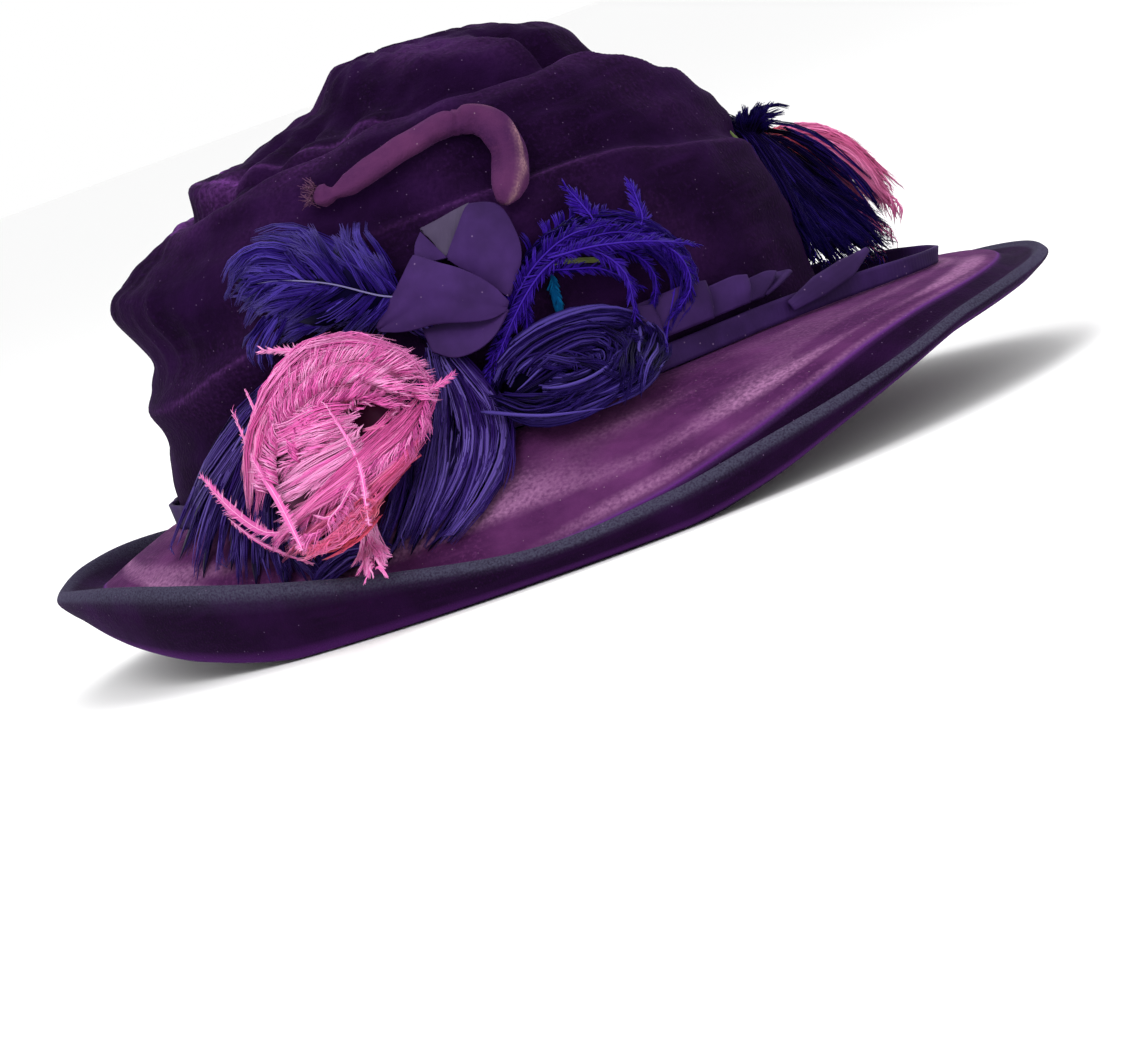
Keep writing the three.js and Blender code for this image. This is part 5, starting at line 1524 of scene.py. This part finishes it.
class CLOCHE_OT_front(bpy.types.Operator):
    """Make the front plume and the pink tuft behind it"""

    bl_idname = "cloche.front"
    bl_label = "Front plumes"

    def execute(self, context):
        facing = unit(np.array([0.5, -0.85, 0.2]))
        plume = Plume(71)
        root, neck = np.array([80, 4, 98.0]), np.array([87, 4, 89.0])
        tips = (
            ((89, -3, 68), (93, -9, 47)), ((91.5, 1, 67), (100, -3, 43)), ((94, 4, 67), (107, 3, 42)),
            ((97, 6, 68), (113, 7, 41)), ((99, 9, 71), (117, 11, 43)),
        )
        middle = np.mean([tip for _, tip in tips], axis=0)
        for bulge, tip in tips:
            aside = (np.array(tip) - middle) * 0.07
            lock = np.array([root + aside, neck + aside * 1.7, bulge, tip])
            # Each lock's core is painted dark: painted shade between the flues.
            plume.core(lock - facing * 2, facing, [4, 6, 6, 1], [3, 4, 3, 0.6])
            plume.flow(lock, facing, [5, 8, 9, 9], [6, 8, 7, 4], 420, start=(0, 0.45), end=(0.55, 1.0),
                       wave=1.5, splay=0.6, shade=(-0.2, 0.8), steps=9, size=0.9)
            plume.flow(lock, facing, [5, 8, 10, 10], [7, 9, 8, 4], 18, start=(0, 0.3), end=(0.75, 1.0),
                       wave=1.6, shade=(0.5, 1.0), size=1.5, each=1, steps=12)
            plume.fringe(lock, facing, [3, 4.5, 6, 6], 130, opening=(40, 25), curl=10, wave=0.8, lift=3,
                         droop=1, steps=6, shade=(0.0, 0.9), size=0.8, each=2)
        # Thin locks cross the pink plume behind.
        for line in (
            [(86, 4, 92), (98, 9, 85), (108, 12, 70), (118, 13, 48)],
            [(88, 4, 94), (101, 10, 87), (113, 13, 72), (122, 14, 50)],
        ):
            plume.flow(np.array(line, float), facing, [3, 5, 5, 6], [3, 4, 4, 3], 60, start=(0, 0.3),
                       end=(0.7, 1.0), wave=1.2, splay=0.6, shade=(0.0, 0.8))
        # A short dark tuft stands at the root.
        for tip in ((86, 3, 99), (90, 2, 99.5), (94, 1, 98.5), (98, 1, 96.5), (101, 0, 92)):
            lock = np.array([(84, 4, 88), (86 + 0.4 * (tip[0] - 88), 3, 94), tip])
            plume.flow(lock, facing, [5, 6, 6], [4, 5, 4], 110, wave=1.0, shade=(-0.3, 0.35))
        plume.stem(np.array([(80, -7, 95), (83, -9, 89), (86, -10, 83)]), facing, 0.9, 0.5, tint=0.7)
        plume.make("front_plume", dyed_ostrich(
            "dyed ostrich, navy", "#04010C", "#110730", "#291A6C", "#1C1060",
            second="#6B7A40",
        ))
        facing = unit(np.array([0.5, -0.6, 0.6]))
        tuft = Plume(72)
        for line in (
            [(86, 24, 84), (98, 25, 85), (109, 25, 80), (116, 24, 69), (121, 23, 55)],
            [(85, 25, 79), (97, 27, 78.5), (107, 27, 71), (113, 26, 60), (117, 24, 46)],
            [(84, 26, 73), (95, 29, 70), (104, 29, 62), (109, 28, 54), (112, 27, 44)],
            [(92, 22, 85), (103, 22, 83.5), (113, 21, 76), (119, 20, 65), (123, 19, 55)],
        ):
            lock = np.array(line, float)
            tuft.core(lock, facing, [3, 7, 8, 6, 1], [3, 5, 5, 3, 0.6], shade=0.1)
            tuft.flow(lock, facing, [8, 10, 11, 9], [6, 8, 8, 5], 420, start=(0, 0.5), end=(0.5, 1.0),
                      wave=1.0, shade=(0.1, 0.95), size=0.75)
            tuft.fringe(lock, facing, [6, 9, 10, 8], 200, opening=(32, 20), curl=12, wave=0.6, lift=2.5,
                        droop=1.5, steps=6, shade=(0.3, 1.0), size=0.7, each=3)
        coral = np.array([(86, 17, 86), (94, 18, 86), (102, 19, 81), (108, 20, 73)], float)
        tuft.flow(coral, facing, [7, 10, 9, 6], [6, 7, 6, 4], 260, start=(0, 0.2), end=(0.3, 1.0), wave=0.9,
                  shade=(0.1, 0.9), tint=0.85, size=0.8)
        tuft.make("front_pink_tuft", dyed_ostrich(
            "dyed ostrich, rose", "#9A3660", "#CE6496", "#E890BE", "#E088B8",
            second="#C84A58",
        ))
        return {"FINISHED"}


# Stage.

CAMERA_DISTANCE = 1500.0
CAMERA_ELEVATION = 6.0
CAMERA_ROLL = 20.0
CAMERA_TARGET = (-4.9, 0.0, -1.2)
CAMERA_LENS = 154.55
FLOOR_RADIUS, FLOOR_SIDES, FLOOR_SHADE = 20, 96, 0.955
# Name, place, aim, size and power of each light, in metres and watts.
LIGHTS = (
    ("key", (-0.7, -1.5, 1.5), (0, 0, 0.08), 1.0, 21),
    ("fill", (1.2, -1.3, 0.9), (0, 0, 0.06), 1.0, 4),
    ("top", (0.1, 0.5, 1.6), (0, 0, 0.1), 1.0, 9),
)


class CLOCHE_OT_stage(bpy.types.Operator):
    """Set the pale floor, soft lights and the camera"""

    bl_idname = "cloche.stage"
    bl_label = "Stage"

    def execute(self, context):
        scene = context.scene
        e, roll = math.radians(CAMERA_ELEVATION), math.radians(CAMERA_ROLL)
        ahead = Vector((0, math.cos(e), -math.sin(e)))
        lift = Vector((0, math.sin(e), math.cos(e)))
        side = Vector((1, 0, 0))
        right = side * math.cos(roll) - lift * math.sin(roll)
        up = side * math.sin(roll) + lift * math.cos(roll)
        place = (Vector(CAMERA_TARGET) - ahead * CAMERA_DISTANCE) * MM
        camera = bpy.data.objects.new("camera", bpy.data.cameras.new("camera"))
        scene.collection.objects.link(camera)
        turn = Matrix((right, up, -ahead)).transposed().to_4x4()
        camera.matrix_world = Matrix.Translation(place) @ turn
        camera.data.lens = CAMERA_LENS
        camera.data.sensor_width = 36
        camera.data.clip_end = 100
        scene.camera = camera

        # The floor lies 0.3 mm under the hat.
        turn = np.linspace(0, 2 * math.pi, FLOOR_SIDES + 1)[:-1]
        disc = np.column_stack([FLOOR_RADIUS * np.cos(turn), FLOOR_RADIUS * np.sin(turn),
                                np.full(FLOOR_SIDES, -0.0003)])
        mesh = bpy.data.meshes.new("floor")
        mesh.from_pydata(disc.tolist(), [], [list(range(FLOOR_SIDES))])
        floor = bpy.data.objects.new("floor", mesh)
        scene.collection.objects.link(floor)
        paper, tree = new_material("matt studio paper")
        give_surface(tree, {"Base Color": [FLOOR_SHADE] * 3, "Roughness": 0.9, "Specular IOR Level": 0.1})
        mesh.materials.append(paper)

        world = bpy.data.worlds.new("studio")
        scene.world = world
        world.use_nodes = True
        world.node_tree.nodes["Background"].inputs[0].default_value = (1, 1, 1, 1)
        world.node_tree.nodes["Background"].inputs[1].default_value = 1.0
        for name, spot, aim, size, power in LIGHTS:
            light = bpy.data.lights.new(name, "AREA")
            light.size = size
            light.energy = power
            lamp = bpy.data.objects.new(name, light)
            lamp.location = spot
            lamp.rotation_euler = (Vector(aim) - Vector(spot)).to_track_quat("-Z", "Y").to_euler()
            scene.collection.objects.link(lamp)
        scene.view_settings.view_transform = "Standard"
        return {"FINISHED"}


class CLOCHE_PT_panel(bpy.types.Panel):
    """Sizes, colours and steps of the cloche"""

    bl_label = "Cloche"
    bl_space_type = "VIEW_3D"
    bl_region_type = "UI"
    bl_category = "Cloche"

    def draw(self, context):
        layout = self.layout
        for group in (context.scene.cloche_sizes, context.scene.cloche_colours):
            for name in group.__annotations__:
                layout.prop(group, name)
        for step in STEPS:
            layout.operator(step.bl_idname)


STEPS = (
    CLOCHE_OT_crown, CLOCHE_OT_brim, CLOCHE_OT_roll, CLOCHE_OT_ribbons, CLOCHE_OT_violet_plume,
    CLOCHE_OT_arch_plume, CLOCHE_OT_coil, CLOCHE_OT_rosette, CLOCHE_OT_falls, CLOCHE_OT_front,
    CLOCHE_OT_stage,
)
CLASSES = (ClocheSizes, ClocheColours, *STEPS, CLOCHE_PT_panel)


def register():
    for item in CLASSES:
        bpy.utils.register_class(item)
    bpy.types.Scene.cloche_sizes = bpy.props.PointerProperty(type=ClocheSizes)
    bpy.types.Scene.cloche_colours = bpy.props.PointerProperty(type=ClocheColours)


def unregister():
    del bpy.types.Scene.cloche_colours
    del bpy.types.Scene.cloche_sizes
    for item in reversed(CLASSES):
        bpy.utils.unregister_class(item)


def main():
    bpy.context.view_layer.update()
    register()
    for step in STEPS:
        group, name = step.bl_idname.split(".")
        getattr(getattr(bpy.ops, group), name)()
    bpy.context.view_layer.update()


if __name__ == "__main__":
    main()
